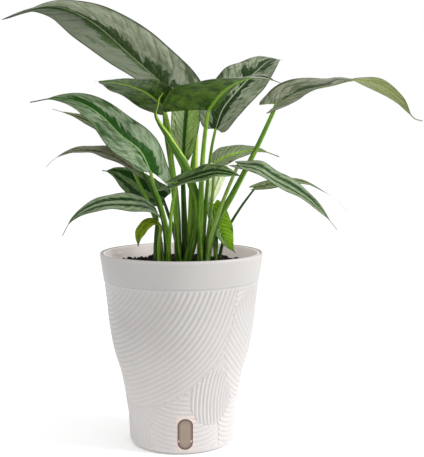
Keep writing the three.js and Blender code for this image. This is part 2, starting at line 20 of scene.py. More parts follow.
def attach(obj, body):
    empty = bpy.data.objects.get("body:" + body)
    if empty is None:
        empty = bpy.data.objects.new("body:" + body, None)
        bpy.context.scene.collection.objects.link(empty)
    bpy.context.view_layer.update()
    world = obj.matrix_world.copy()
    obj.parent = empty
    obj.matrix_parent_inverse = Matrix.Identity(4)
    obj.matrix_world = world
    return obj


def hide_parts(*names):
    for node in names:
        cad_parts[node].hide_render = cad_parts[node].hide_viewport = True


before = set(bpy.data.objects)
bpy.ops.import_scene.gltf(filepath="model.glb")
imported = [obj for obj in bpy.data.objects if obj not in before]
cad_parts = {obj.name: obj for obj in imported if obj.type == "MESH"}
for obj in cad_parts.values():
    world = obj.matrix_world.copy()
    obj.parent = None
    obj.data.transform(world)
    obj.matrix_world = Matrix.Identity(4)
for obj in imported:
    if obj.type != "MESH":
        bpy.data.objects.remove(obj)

Array = np.ndarray
Colour = str  # six hex digits of a display colour
Point = tuple[float, float, float]

LOG = logging.getLogger("planter")
MM = 0.001
BODY = "root"

# Sizes in millimetres
POT_WALL = 3.2
BAND_FOOT = 171.5      # where the smooth top band starts
BAND_STEP = 0.4        # how far the body is set back below the band
CLEARANCE = 0.3        # gap round the window's plug and before its flange
SOIL_TOP = 188.0
CROWN_DEPTH = 34.0
# The paler border round the water window, and the part of it without ridges: boxes with round
# corners, each by its middle and its half size.
BORDER_MIDDLE, BORDER_HALF, BORDER_ROUND = (3.6, 22.0), (8.4, 16.6), 2.0
PLAIN_MIDDLE, PLAIN_HALF = (4.0, 22.0), (8.2, 18.2)
# Turns that the edge of a rolled leaf winds from foot to tip, and the turn where it starts
ROLL_TURNS, ROLL_START = 0.55, 0.52
# Side veins on each half of a blade, and the share of its length that they sweep forwards
SIDE_VEINS, VEIN_SWEEP = 13, 0.2

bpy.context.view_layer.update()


# ---------- numbers and curves ----------
def linear(colour: Colour) -> tuple[float, ...]:
    """Turns a display colour into the linear colour, with full alpha, that a shader takes."""
    shares = [level / 255 for level in bytes.fromhex(colour)]
    return (*(s / 12.92 if s <= 0.04045 else ((s + 0.055) / 1.055) ** 2.4 for s in shares), 1.0)


def ease(value: Array, low: float, high: float) -> Array:
    """Smooth step: 0 at low, 1 at high, and 3t^2 - 2t^3 between them."""
    share = np.clip((value - low) / (high - low), 0.0, 1.0)
    return share * share * (3 - 2 * share)


def turns(count: int, start: float = 0.0) -> Array:
    """That many angles spaced evenly over one turn."""
    return np.linspace(start, start + 2 * math.pi, count, endpoint=False)


def unit(vectors: Array) -> Array:
    """Each vector divided by its own length."""
    return vectors / np.maximum(np.linalg.norm(vectors, axis=-1, keepdims=True), 1e-9)


def blend(low: Array, high: Array, share: Array) -> Array:
    """Straight mix from low to high."""
    return low + (high - low) * share


@dataclass(frozen=True)
class Ripples:
    """Smooth seeded lumps: a sum of sine waves with random directions and phases."""

    seed: int
    shortest: float
    longest: float
    count: int = 28

    def at(self, x: Array, y: Array) -> Array:
        """Height of the lumps, about -1 to 1.

        The sum of sin(k.p + phase), each wave as high as it is long, over the spread of that sum.

        Args:
            x, y: Places in millimetres.

        Returns:
            One height for each place.
        """
        random = np.random.default_rng(self.seed)
        length = random.uniform(self.shortest, self.longest, self.count)
        turn = random.uniform(0, 2 * math.pi, self.count)
        phase = random.uniform(0, 2 * math.pi, self.count)
        wave = 2 * math.pi / length
        angle = np.multiply.outer(x, wave * np.cos(turn)) + np.multiply.outer(y, wave * np.sin(turn))
        height = (np.sin(angle + phase) * length).sum(-1)
        return height / (np.sqrt(np.square(length).sum() / 2) * 1.6)


class SmoothCurve:
    """Centripetal Catmull-Rom curve through points, read by its share of the length."""

    STEPS = 60

    def __init__(self, points: Any) -> None:
        """Samples the curve once.

        Each stretch between two points is a cubic whose end slopes follow from the neighbours, weighed
        by the square root of their distances. The ends are continued by reflection.

        Args:
            points: The points that the curve goes through.
        """
        held = np.asarray(points, float)
        run = np.vstack([2 * held[0] - held[1], held, 2 * held[-1] - held[-2]])
        before, start, end, after = run[:-3], run[1:-2], run[2:-1], run[3:]
        gap_before, gap, gap_after = (
            np.sqrt(np.linalg.norm(b - a, axis=1))[:, None]
            for a, b in ((before, start), (start, end), (end, after))
        )
        slope = (end - start) / gap
        leaving = (start - before) / gap_before - (end - before) / (gap_before + gap) + slope
        arriving = slope - (after - start) / (gap + gap_after) + (after - end) / gap_after
        leaving, arriving = leaving * gap, arriving * gap
        t = np.linspace(0, 1, self.STEPS, endpoint=False)[None, :, None]
        s, e, m, n = (value[:, None] for value in (start, end, leaving, arriving))
        body = s + m * t + (3 * (e - s) - 2 * m - n) * t**2 + (2 * (s - e) + m + n) * t**3
        self.points = np.vstack([body.reshape(-1, held.shape[1]), held[-1:]])
        steps = np.linalg.norm(np.diff(self.points, axis=0), axis=1)
        self.reach = np.concatenate([[0.0], np.cumsum(steps)])
        self.length = float(self.reach[-1])
        self.slopes = unit(np.gradient(self.points, self.reach, axis=0))

    def _read(self, table: Array, share: Array) -> Array:
        """Values of a table of samples at shares of the length."""
        place = np.clip(share, 0.0, 1.0) * self.length
        return np.stack([np.interp(place, self.reach, column) for column in table.T], axis=-1)

    def at(self, share: Array) -> Array:
        """Points at shares of the length."""
        return self._read(self.points, np.asarray(share, float))

    def along(self, share: Array) -> Array:
        """Directions of the curve at shares of the length."""
        return unit(self._read(self.slopes, np.asarray(share, float)))

    def across(self, shares: Array) -> tuple[Array, Array]:
        """Two directions square to the curve that turn as little as they can.

        The first one starts as the front direction laid square to the curve, and is laid square
        again at each next share.

        Args:
            shares: Rising shares of the length.

        Returns:
            The two directions at each share.
        """
        slopes = self.along(shares)
        first = np.empty_like(slopes)
        held = np.array([0.0, -1.0, 0.0])
        for row, slope in enumerate(slopes):
            held = unit(held - slope * held.dot(slope))
            first[row] = held
        return first, np.cross(slopes, first)


# ---------- meshes ----------
@dataclass
class Shell:
    """Grids of points that together make one closed mesh, in millimetres."""

    points: list[Array] = field(default_factory=list)
    faces: list[Array] = field(default_factory=list)
    maps: list[Array] = field(default_factory=list)
    slots: list[Array] = field(default_factory=list)
    count: int = 0

    def grid(
        self, points: Array, uv: Array | None = None, closed: bool = False, slot: Array | int = 0,
    ) -> Array:
        """Adds a grid of points with a quad between each four neighbours.

        Args:
            points: Rows by columns by 3.
            uv: Places on the piece's own map, with one more column than the points on a closed grid;
                all at 0 if not given.
            closed: True where the last column meets the first.
            slot: The material slot, one for all or one for each column of quads.

        Returns:
            The numbers of the grid's points.
        """
        rows, columns = points.shape[:2]
        own = self.count + np.arange(rows * columns).reshape(rows, columns)
        wide = np.concatenate([own, own[:, :1]], axis=1) if closed else own
        corners = (wide[:-1, :-1], wide[:-1, 1:], wide[1:, 1:], wide[1:, :-1])
        faces = np.stack(corners, axis=-1).reshape(-1, 4)
        if uv is None:
            uv = np.zeros((*wide.shape, 2))
        map_corners = (uv[:-1, :-1], uv[:-1, 1:], uv[1:, 1:], uv[1:, :-1])
        self.maps.append(np.stack(map_corners, axis=2).reshape(-1, 2))
        self.faces.append(faces)
        self.slots.append(np.broadcast_to(slot, (rows - 1, wide.shape[1] - 1)).reshape(-1))
        self.points.append(points.reshape(-1, 3))
        self.count += rows * columns
        return own

    def rungs(self, one: Array, other: Array, slot: int, uv: Array) -> None:
        """Closes the slit between two equal rows of points with one quad a step, at one map place.

        Args:
            one, other: Numbers of the points of the two rows.
            slot: The material slot.
            uv: The place on the map.
        """
        faces = np.stack([one[:-1], one[1:], other[1:], other[:-1]], axis=-1)
        self.faces.append(faces)
        self.maps.append(np.tile(uv, (len(faces) * 4, 1)))
        self.slots.append(np.full(len(faces), slot))

    def outline(self) -> tuple[Array, Array]:
        """All points, and all faces turned so that they look outwards.

        The sum over the faces of the volume between each face and the origin is positive only when
        the faces look outwards.

        Returns:
            The points and the faces.
        """
        points, faces = np.vstack(self.points), np.vstack(self.faces)
        a, b, c, d = (points[faces[:, k]] for k in range(4))
        volume = np.einsum("ij,ij->", a, np.cross(b, c)) + np.einsum("ij,ij->", a, np.cross(c, d))
        if volume < 0:
            faces = faces[:, ::-1]
            self.maps = [np.vstack(self.maps).reshape(-1, 4, 2)[:, ::-1].reshape(-1, 2)]
        return points, faces

    def piece(self, name: str, finishes: tuple[Any, ...], crease: float) -> bpy.types.Object:
        """Makes the Blender object, with its seams and poles closed.

        Args:
            name: The piece's plain name.
            finishes: One finish for each slot.
            crease: Edges sharper than this many degrees stay sharp.

        Returns:
            The object, at the origin, with its place in its mesh.
        """
        points, faces = self.outline()
        mesh = bpy.data.meshes.new(name)
        mesh.from_pydata((points * MM).tolist(), [], faces.tolist())
        layer = mesh.uv_layers.new(name="surface")
        layer.data.foreach_set("uv", np.vstack(self.maps).astype(np.float32).ravel())
        for finish in finishes:
            mesh.materials.append(material_of(finish))
        mesh.polygons.foreach_set("material_index", np.concatenate(self.slots).astype(np.int32))
        work = bmesh.new()
        work.from_mesh(mesh)
        bmesh.ops.remove_doubles(work, verts=work.verts, dist=1e-6)
        bmesh.ops.dissolve_degenerate(work, edges=work.edges, dist=1e-7)
        work.to_mesh(mesh)
        work.free()
        return shown(name, smoothed(mesh, crease))


@cache
def material_of(finish: Any) -> bpy.types.Material:
    """The finish's material, made when it is first asked for."""
    return finish.material()


def shown(name: str, data: Any) -> bpy.types.Object:
    """A new object in the scene.

    Args:
        name: The object's name.
        data: Its mesh, lamp or camera.

    Returns:
        The object.
    """
    made = bpy.data.objects.new(name, data)
    bpy.context.scene.collection.objects.link(made)
    return made


def smoothed(mesh: bpy.types.Mesh, crease: float) -> bpy.types.Mesh:
    """Smooths a mesh, but for edges sharper than that many degrees.

    Args:
        mesh: The mesh.
        crease: The angle above which an edge stays sharp.

    Returns:
        The same mesh.
    """
    mesh.shade_smooth()
    mesh.set_sharp_from_angle(angle=math.radians(crease))
    return mesh


def solid(
    name: str, rings: Array, finish: Any = None, crease: float = 40.0, uv: Array | None = None,
) -> bpy.types.Object:
    """Makes a piece from one grid whose last column meets its first.

    Args:
        name: The piece's plain name.
        rings: Rows by columns by 3.
        finish: The finish, or none on a tool that only cuts.
        crease: Edges sharper than this many degrees stay sharp.
        uv: The piece's own map.

    Returns:
        The object.
    """
    shell = Shell()
    shell.grid(rings, uv, closed=True)
    return shell.piece(name, (finish,) if finish else (), crease)


def cut(body: bpy.types.Object, tools: list[bpy.types.Object], crease: float) -> None:
    """Cuts closed tools out of a closed piece and removes them.

    Args:
        body: The piece that keeps the holes.
        tools: Closed shapes of the holes.
        crease: Edges sharper than this many degrees stay sharp.
    """
    for tool in tools:
        step = body.modifiers.new("hole", "BOOLEAN")
        step.operation, step.solver, step.object = "DIFFERENCE", "EXACT", tool
    bpy.context.view_layer.update()
    ready = body.evaluated_get(bpy.context.evaluated_depsgraph_get())
    mesh = bpy.data.meshes.new_from_object(ready)
    body.modifiers.clear()
    body.data = smoothed(mesh, crease)
    for tool in tools:
        bpy.data.objects.remove(tool)


def turned(outline: Array, sides: int, proud: Callable[[Array, Array], Array] | None = None) -> Array:
    """Turns a [radius, height] outline about the upright axis.

    A point at turn a is (r sin a, -r cos a, z), so that turn 0 is the front, where r is the
    outline's radius and, where given, the extra height of a relief.

    Args:
        outline: Rows of radius and height.
        sides: Points round each ring.
        proud: Gives the relief's height from the turn and the height.

    Returns:
        Rows by sides by 3.
    """
    turn = turns(sides, -math.pi)[None, :]
    radius, height = outline[:, :1], outline[:, 1:]
    radius = radius + (0.0 if proud is None else proud(turn, height))
    upright = np.broadcast_to(height, (len(outline), sides))
    return np.stack([radius * np.sin(turn), -radius * np.cos(turn), upright], axis=-1)


def ended(rings: Array) -> Array:
    """Closes rings with one more at each end, shrunk to the middle of the end ring."""
    low, high = (np.broadcast_to(ring.mean(0), (1, *ring.shape)) for ring in (rings[0], rings[-1]))
    return np.concatenate([low, rings, high])


def tube(curve: SmoothCurve, share: Array, radius: Array) -> Array:
    """Carries a section along a curve: centre + (first cos a + second sin a) times the radius.

    Args:
        curve: The line of the centres.
        share: Shares of its length where the rings are.
        radius: Rings by sides.

    Returns:
        The rings, closed at both ends.
    """
    first, second = curve.across(share)
    turn = turns(radius.shape[1])
    spoke = first[:, None] * np.cos(turn)[None, :, None] + second[:, None] * np.sin(turn)[None, :, None]
    return ended(curve.at(share)[:, None] + spoke * radius[..., None])


def unrolled(rings: Array) -> Array:
    """A plain map for rings: the first value from ring to ring, the second round them."""
    sides = np.linspace(0, 1, rings.shape[1] + 1)
    return np.stack(np.meshgrid(np.linspace(0, 1, len(rings)), sides, indexing="ij"), axis=-1)


# ---------- shader maths ----------
def maths(operation: str, reflected: bool = False) -> Callable[..., "Channel"]:
    """Makes a method that adds a Math node on a channel and, if given, an operand.

    Args:
        operation: The node's operation.
        reflected: True where the operand comes first, as in 1 - mask.

    Returns:
        The method.
    """
    def method(self: "Channel", *operands: "Channel | float") -> "Channel":
        """The operation's result."""
        sockets = zip(("Value", "Value_001"), (*operands, self) if reflected else (self, *operands))
        return self.shader.node("ShaderNodeMath", dict(sockets), operation=operation)

    return method


@dataclass
class Channel:
    """One output socket of a material. Arithmetic on it adds Math nodes."""

    shader: "Shader"
    socket: bpy.types.NodeSocket

    __add__, __sub__, __mul__ = maths("ADD"), maths("SUBTRACT"), maths("MULTIPLY")
    __radd__, __rsub__ = maths("ADD", reflected=True), maths("SUBTRACT", reflected=True)
    __rmul__, __rpow__ = maths("MULTIPLY", reflected=True), maths("POWER", reflected=True)
    __pow__, __abs__ = maths("POWER"), maths("ABSOLUTE")
    cosine, sine, fraction = maths("COSINE"), maths("SINE"), maths("FRACT")
    largest, above = maths("MAXIMUM"), maths("GREATER_THAN")

    def step(self, low: float, high: float) -> "Channel":
        """Smooth step from 0 at low to 1 at high, which may be the lower of the two."""
        limits = {"Value": self, "From Min": low, "From Max": high}
        return self.shader.node("ShaderNodeMapRange", limits, interpolation_type="SMOOTHSTEP")


class Shader:
    """One procedural material with a Principled surface."""

    def __init__(self, name: str, **surface: Any) -> None:
        """Starts the material.

        Args:
            name: The material's name.
            surface: Constant values of the Principled sockets, with _ for a space.
        """
        self.material = bpy.data.materials.new(name)
        self.material.use_nodes = True
        self.tree = self.material.node_tree
        self.surface = self.tree.nodes["Principled BSDF"]
        self.feed(**surface)

    def _put(self, node: bpy.types.Node, key: str, value: Any) -> None:
        """Sets or links one input, found by its identifier or else by its name.

        Args:
            node: The node.
            key: Identifier or name of the input.
            value: A channel to link, the digits of a colour, or a plain value.
        """
        inputs = list(node.inputs)
        socket = next((s for s in inputs if s.identifier == key), None) or node.inputs[key]
        if isinstance(value, Channel):
            self.tree.links.new(value.socket, socket)
        else:
            socket.default_value = linear(value) if isinstance(value, str) else value

    def node(
        self, kind: str, values: dict[str, Any] | None = None, output: str = "", **settings: Any,
    ) -> Channel:
        """Adds any node.

        Args:
            kind: The node's type.
            values: Values or links for its inputs.
            output: The output that is wanted, or the first one.
            settings: Properties of the node.

        Returns:
            The output.
        """
        made = self.tree.nodes.new(kind)
        for key, value in settings.items():
            setattr(made, key, value)
        for key, value in (values or {}).items():
            self._put(made, key, value)
        found = next((s for s in made.outputs if s.identifier == output), None)
        return Channel(self, found or made.outputs[output or 0])

    def feed(self, **values: Any) -> None:
        """Sets or links the surface's sockets, named with _ for a space."""
        for key, value in values.items():
            self._put(self.surface, key.replace("_", " "), value)

    def solid_place(self) -> Channel:
        """Object coordinates."""
        return self.node("ShaderNodeTexCoord", output="Object")

    def map_place(self) -> Channel:
        """The piece's own map."""
        return self.node("ShaderNodeUVMap", uv_map="surface")

    def split(self, vector: Channel) -> tuple[Channel, Channel, Channel]:
        """The three parts of a vector.

        Args:
            vector: The vector.

        Returns:
            Its X, Y and Z.
        """
        x = self.node("ShaderNodeSeparateXYZ", {"Vector": vector}, output="X")
        parts = x.socket.node.outputs
        return x, Channel(self, parts["Y"]), Channel(self, parts["Z"])

    def join(self, x: Any, y: Any = 0.0, z: Any = 0.0) -> Channel:
        """A vector of three parts."""
        return self.node("ShaderNodeCombineXYZ", {"X": x, "Y": y, "Z": z})

    def noise(self, place: Channel, scale: float, detail: float = 2.0, rough: float = 0.5) -> Channel:
        """Noise about 0.5 at places."""
        values = {"Vector": place, "Scale": scale, "Detail": detail, "Roughness": rough}
        return self.node("ShaderNodeTexNoise", values)

    def mix(self, share: Any, low: Any, high: Any) -> Channel:
        """Colour mix from low to high."""
        values = {"Factor_Float": share, "A_Color": low, "B_Color": high}
        return self.node("ShaderNodeMix", values, output="Result_Color", data_type="RGBA")

    def paint(self, base: Any, *layers: tuple[Channel, Any]) -> Channel:
        """The base with colours laid over it, each as far as its share says.

        Args:
            base: The colour below.
            layers: Share and colour of each layer, in order.

        Returns:
            The painted colour.
        """
        for share, colour in layers:
            base = self.mix(share, base, colour)
        return base

    def bump(self, height: Channel, depth: float) -> Channel:
        """Bump of that depth in metres where the height goes from 0 to 1."""
        return self.node("ShaderNodeBump", {"Height": height, "Distance": depth})


# ---------- finishes ----------
@dataclass(frozen=True)
class PlasticFinish:
    """Moulded satin plastic with a faint mottle and a fine grain."""

    name: str
    colour: Colour
    shade: Colour
    roughness: float = 0.42
    grain: float = 0.00004
    border: Colour | None = None
    # deep: painted shade over the top band and painted shadow in the groove at its foot
    deep: Colour = "868483"
    # painted light: emission of the body colour, so the part glows though it is no lamp
    painted_glow: float = 0.0
    # foot: painted light, the paler colour towards the pot's foot
    foot: Colour = "c2bebc"

    def painted_light_and_shade(self, shader: Shader, place: Channel, body: Channel) -> Channel:
        """The colour with painted light paler towards the foot, painted shade over the top band and a
        painted shadow line at the band's foot.

        Args:
            shader: The material.
            place: Object coordinates.
            body: The plain colour.

        Returns:
            The colour with its painted light and shade.
        """
        _, _, z = shader.split(place)
        # Painted light: paler towards the foot.
        body = shader.mix(z.step(0.14, 0.01), body, self.foot)
        # Painted shade over the top band below its lip, and a painted shadow line in the groove at its
        # foot.
        top = z.step((BAND_FOOT - 0.4) * MM, (BAND_FOOT + 0.4) * MM) * z.step(0.1985, 0.196)
        groove = abs(z - BAND_FOOT * MM).step(0.0007, 0.0003)
        return shader.mix(top * 0.22 + groove * 0.4, body, self.deep)

    def bordered(self, shader: Shader, body: Channel, place: Channel) -> Channel:
        """The colour with the paler smooth border round the water window, by distance from a box.

        Args:
            shader: The material.
            body: The banded colour.
            place: Object coordinates.

        Returns:
            The colour with its border.
        """
        x, y, z = shader.split(place)
        side = (abs(x - BORDER_MIDDLE[0] * MM) - BORDER_HALF[0] * MM).largest(0.0)
        rise = (abs(z - BORDER_MIDDLE[1] * MM) - BORDER_HALF[1] * MM).largest(0.0)
        near = (side * side + rise * rise) ** 0.5
        inside = near.step(BORDER_ROUND * MM, (BORDER_ROUND - 0.5) * MM) * y.step(0.0, -0.01)
        return shader.mix(inside, body, self.border)

    def material(self) -> bpy.types.Material:
        """Makes the finish.

        Returns:
            The material.
        """
        shader = Shader(self.name, Specular_IOR_Level=0.42, IOR=1.5, Emission_Strength=self.painted_glow)
        place = shader.solid_place()
        cloud = shader.noise(place, 14.0, 3.0)
        speck = shader.noise(place, 1500.0, 2.0)
        body = shader.mix(cloud.step(0.3, 0.75), self.colour, self.shade)
        if self.border is not None:
            body = self.bordered(shader, self.painted_light_and_shade(shader, place, body), place)
        shader.feed(
            Base_Color=body,
            Roughness=cloud * 0.12 + (self.roughness - 0.06),
            Normal=shader.bump(speck, self.grain),
            Emission_Color=body,
        )
        return shader.material


@dataclass(frozen=True)
class WindowFinish:
    """Smoky clear plastic that darkens to its edge, with a pale level mark at each side."""

    name: str = "smoky_window"
    middle: Colour = "8c7a6c"
    edge: Colour = "54443a"
    mark: Colour = "beaea0"

    def material(self) -> bpy.types.Material:
        """Makes the finish. The map runs from the middle to the edge, and round the pill.

        Returns:
            The material.
        """
        shader = Shader(self.name, Roughness=0.2, Coat_Weight=0.4, Coat_Roughness=0.1, IOR=1.49)
        out, _, _ = shader.split(shader.map_place())
        place = shader.solid_place()
        x, _, z = shader.split(place)
        cloud = shader.noise(place, 90.0, 2.0)
        body = shader.paint(
            self.middle, (out.step(0.5, 1.0), self.edge), (cloud.step(0.35, 0.8) * 0.35, self.edge),
        )
        across = abs(x - 0.003)
        wedge = (across - abs(z - 0.014) * 1.6).step(0.0046, 0.0052) * across.step(0.0074, 0.0068)
        shader.feed(Base_Color=shader.mix(wedge, body, self.mark))
        return shader.material


@dataclass(frozen=True)
class SoilFinish:
    """Damp potting mix with dark grains and a few paler fibres."""

    name: str = "potting_mix"
    dark: Colour = "0e0907"
    middle: Colour = "2a1d16"
    pale: Colour = "5c4636"

    def material(self) -> bpy.types.Material:
        """Makes the finish.

        Returns:
            The material.
        """
        shader = Shader(self.name, Specular_IOR_Level=0.12)
        place = shader.solid_place()
        grain = shader.noise(place, 420.0, 5.0, 0.7)
        patch = shader.noise(place, 90.0, 3.0)
        colour = shader.paint(
            self.dark, (grain.step(0.35, 0.65), self.middle),
            ((grain * patch).step(0.3, 0.42), self.pale),
        )
        shader.feed(Base_Color=colour, Roughness=grain * 0.3 + 0.7, Normal=shader.bump(grain, 0.0012))
        return shader.material


@dataclass(frozen=True)
class PerliteFinish:
    """Off-white foamed grains, stained by the mix."""

    name: str = "perlite"
    colour: Colour = "cec8bc"
    stain: Colour = "806a56"

    def material(self) -> bpy.types.Material:
        """Makes the finish.

        Returns:
            The material.
        """
        shader = Shader(self.name, Roughness=0.85)
        place = shader.solid_place()
        stain = shader.noise(place, 380.0, 3.0)
        shader.feed(
            Base_Color=shader.mix(stain.step(0.45, 0.7), self.colour, self.stain),
            Normal=shader.bump(stain, 0.0004),
        )
        return shader.material


@dataclass(frozen=True)
class StalkFinish:
    """Grown stalk: fine lengthwise streaks, partly the stalk's own and partly painted highlight and
    painted shade, darker at the foot and paler towards the blade.
    """

    name: str
    foot: Colour
    middle: Colour
    top: Colour
    highlight_streak: Colour
    rolled: bool = False

    def material(self) -> bpy.types.Material:
        """Makes the finish. The map runs from foot to top, and round the stalk.

        A rolled leaf has a painted highlight on the edge that winds with its step, at the same share of
        a turn, and painted shade in the hollow just under that edge.

        Returns:
            The material.
        """
        shader = Shader(self.name, Specular_IOR_Level=0.18)
        along, around, _ = shader.split(shader.map_place())
        turn = around * (2 * math.pi)
        ring = shader.join(turn.cosine() * 2.4, turn.sine() * 2.4, along * 1.5)
        streaks = shader.noise(ring, 3.2, 3.0, 0.6)
        groove = shader.noise(ring, 1.3, 2.0, 0.5)
        # The dark grooves are partly painted shade and the pale streaks partly painted highlight.
        colour = shader.paint(
            self.foot, (along.step(0.12, 0.5), self.middle), (along.step(0.5, 0.98), self.top),
            (groove.step(0.55, 0.4) * 0.85, self.foot), (streaks.step(0.5, 0.62) * 0.85, self.highlight_streak),
        )
        if self.rolled:
            # Painted highlight on the edge of the roll and painted shade in the hollow under it.
            wound = (around + along * ROLL_TURNS + ROLL_START).fraction()
            edge, fold = wound.step(0.24, 0.1) * 0.85, wound.step(0.62, 0.85) * 0.8
            colour = shader.paint(colour, (edge, self.highlight_streak), (fold, self.foot))
        fleck = shader.noise(shader.solid_place(), 700.0, 2.0)
        shader.feed(
            Base_Color=shader.mix(fleck.step(0.55, 0.8) * 0.35, colour, self.foot),
            Roughness=streaks * 0.25 + 0.28,
            Normal=shader.bump(streaks, 0.0004),
        )
        return shader.material


class BladeMap:
    """The places on a blade that its finishes are drawn by.

    The map runs from neck to tip and from margin to margin. The flow, the share of the length less
    the sweep of the side veins, is nearly the same all along one side vein, so noise of the flow
    alone makes an edge that is jagged along the veins. A slow warp keeps it uneven.
    """

    def __init__(self, shader: Shader, seed: float, apart: float) -> None:
        """Works out the places.

        Args:
            shader: The material.
            seed: Makes the noise differ from other blades.
            apart: Makes the noise of the two halves differ.
        """
        self.shader = shader
        self.along, over, _ = shader.split(shader.map_place())
        across = over * 2.0 - 1.0
        self.reach = abs(across)
        self.right = across.above(0.0)
        self.side = self.right * apart + seed
        warp = shader.noise(shader.join(self.along * 5.0, across * 2.4, seed), 1.0, 2.0) - 0.5
        self.flow = self.along - (self.reach ** 1.15) * VEIN_SWEEP + warp * 0.07
        self.vein = abs((self.flow * SIDE_VEINS).fraction() - 0.5)

    def noise(
        self, fine: float, shift: float, wide: float, detail: float, rough: float = 0.5,
    ) -> Channel:
        """Noise drawn out along the side veins."""
        place = self.shader.join(self.flow * fine, self.side + shift, self.reach * wide)
        return self.shader.noise(place, 1.0, detail, rough)


@dataclass(frozen=True)
class BladeFinish:
    """Upper face of a blade: mottled silver field, dark feathered band by the midrib, dark margin."""

    name: str
    field: Colour = "9ea693"
    shade: Colour = "647052"
    band: Colour = "28401e"
    rib: Colour = "8aa070"
    margin: Colour = "3e4630"
    tip: Colour = "5c5048"
    # other: colour of one half, a real two-tone on the half pale and bright backed looks, painted shade
    # on the broad silver look
    other: Colour | None = None
    width: float = 0.3
    lean: float = 0.0
    feather: float = 0.36
    blotch: float = 0.16
    dull: float = 0.5
    rib_width: float = 0.024
    hollow: float = 0.0
    seed: float = 0.0

    def material(self) -> bpy.types.Material:
        """Makes the finish.

        The band reaches as far as its width, moved by noise and by the lean to one half. A hollow
        band leaves that share of the half width pale beside the midrib.

        Returns:
            The material.
        """
        shader = Shader(self.name, Specular_IOR_Level=0.1)
        blade = BladeMap(shader, self.seed, 7.3)
        along, reach, right = blade.along, blade.reach, blade.right
        jag = blade.noise(26.0, 0.0, 1.3, 4.0, 0.7)
        patch = blade.noise(4.6, 3.1, 1.8, 2.0)
        stripe = blade.noise(34.0, 9.7, 2.6, 4.0, 0.68)
        mottle = blade.noise(10.0, 4.4, 4.6, 4.0, 0.66)
        speck = blade.noise(66.0, 5.0, 15.0, 3.0, 0.6)
        cloudy, striped = mottle.step(0.42, 0.62) * self.dull, stripe.step(0.46, 0.64) * 0.72
        colour = shader.paint(self.field, (cloudy, self.shade), (striped, self.shade))
        # The other colour fills one half: a real two-tone on some looks, painted shade on the broad
        # silver look.
        if self.other is not None:
            own = shader.mix(stripe.step(0.45, 0.7) * 0.4, self.other, self.band)
            colour = shader.mix(right, own, colour)
        edge = (jag - 0.5) * (2.2 * self.feather) + (patch - 0.5) * (4.0 * self.blotch) + self.width
        edge = edge + (right - 0.5) * (2.0 * self.lean)
        inner = (edge - reach + along * 0.05).step(-0.05, 0.06)
        if self.hollow:
            inner = inner * (reach + (jag - 0.5) * 0.22).step(self.hollow - 0.05, self.hollow + 0.03)
        deep = shader.mix(speck.step(0.46, 0.72) * 0.5, self.band, self.shade)
        far = (patch * mottle).step(0.3, 0.36) * reach.step(0.35, 0.7)
        colour = shader.paint(
            colour, (inner, deep), (far * 0.7, self.band), (speck.step(0.56, 0.74) * 0.45, self.shade),
            (reach.step(self.rib_width * 1.6, self.rib_width * 0.8), self.rib),
            (reach.step(0.93, 0.985), self.margin), (along.step(0.9, 0.985), self.tip),
        )
        relief = blade.vein.step(0.5, 0.3) + stripe * 0.4 + mottle * 0.5
        shader.feed(
            Base_Color=colour, Roughness=stripe * 0.22 + 0.3, Normal=shader.bump(relief, 0.0005),
        )
        return shader.material


@dataclass(frozen=True)
class BackFinish:
    """Under face of a blade: mottled green with paler veins and a dull bloom in patches."""

    name: str
    green: Colour = "546c38"
    mottle: Colour = "344e20"
    bloom: Colour = "70805c"
    rib: Colour = "80a04c"
    margin: Colour = "687a4e"

    def material(self) -> bpy.types.Material:
        """Makes the finish, on the same map as the upper face.

        Returns:
            The material.
        """
        shader = Shader(self.name, Specular_IOR_Level=0.1)
        blade = BladeMap(shader, 0.0, 5.1)
        cloud = blade.noise(9.0, 0.0, 3.4, 4.0, 0.66)
        haze = blade.noise(7.0, 6.0, 4.0, 4.0, 0.7)
        fine = blade.noise(44.0, 2.0, 8.0, 3.0)
        colour = shader.paint(
            self.green, (cloud.step(0.4, 0.6), self.mottle), (haze.step(0.52, 0.68) * 0.6, self.bloom),
            (fine.step(0.5, 0.72) * 0.4, self.mottle), (blade.vein.step(0.45, 0.5) * 0.22, self.rib),
            (blade.reach.step(0.07, 0.03), self.rib), (blade.reach.step(0.95, 0.99), self.margin),
        )
        relief = blade.vein.step(0.4, 0.5) + fine * 0.4
        shader.feed(Base_Color=colour, Roughness=cloud * 0.2 + 0.32, Normal=shader.bump(relief, 0.0004))
        return shader.material


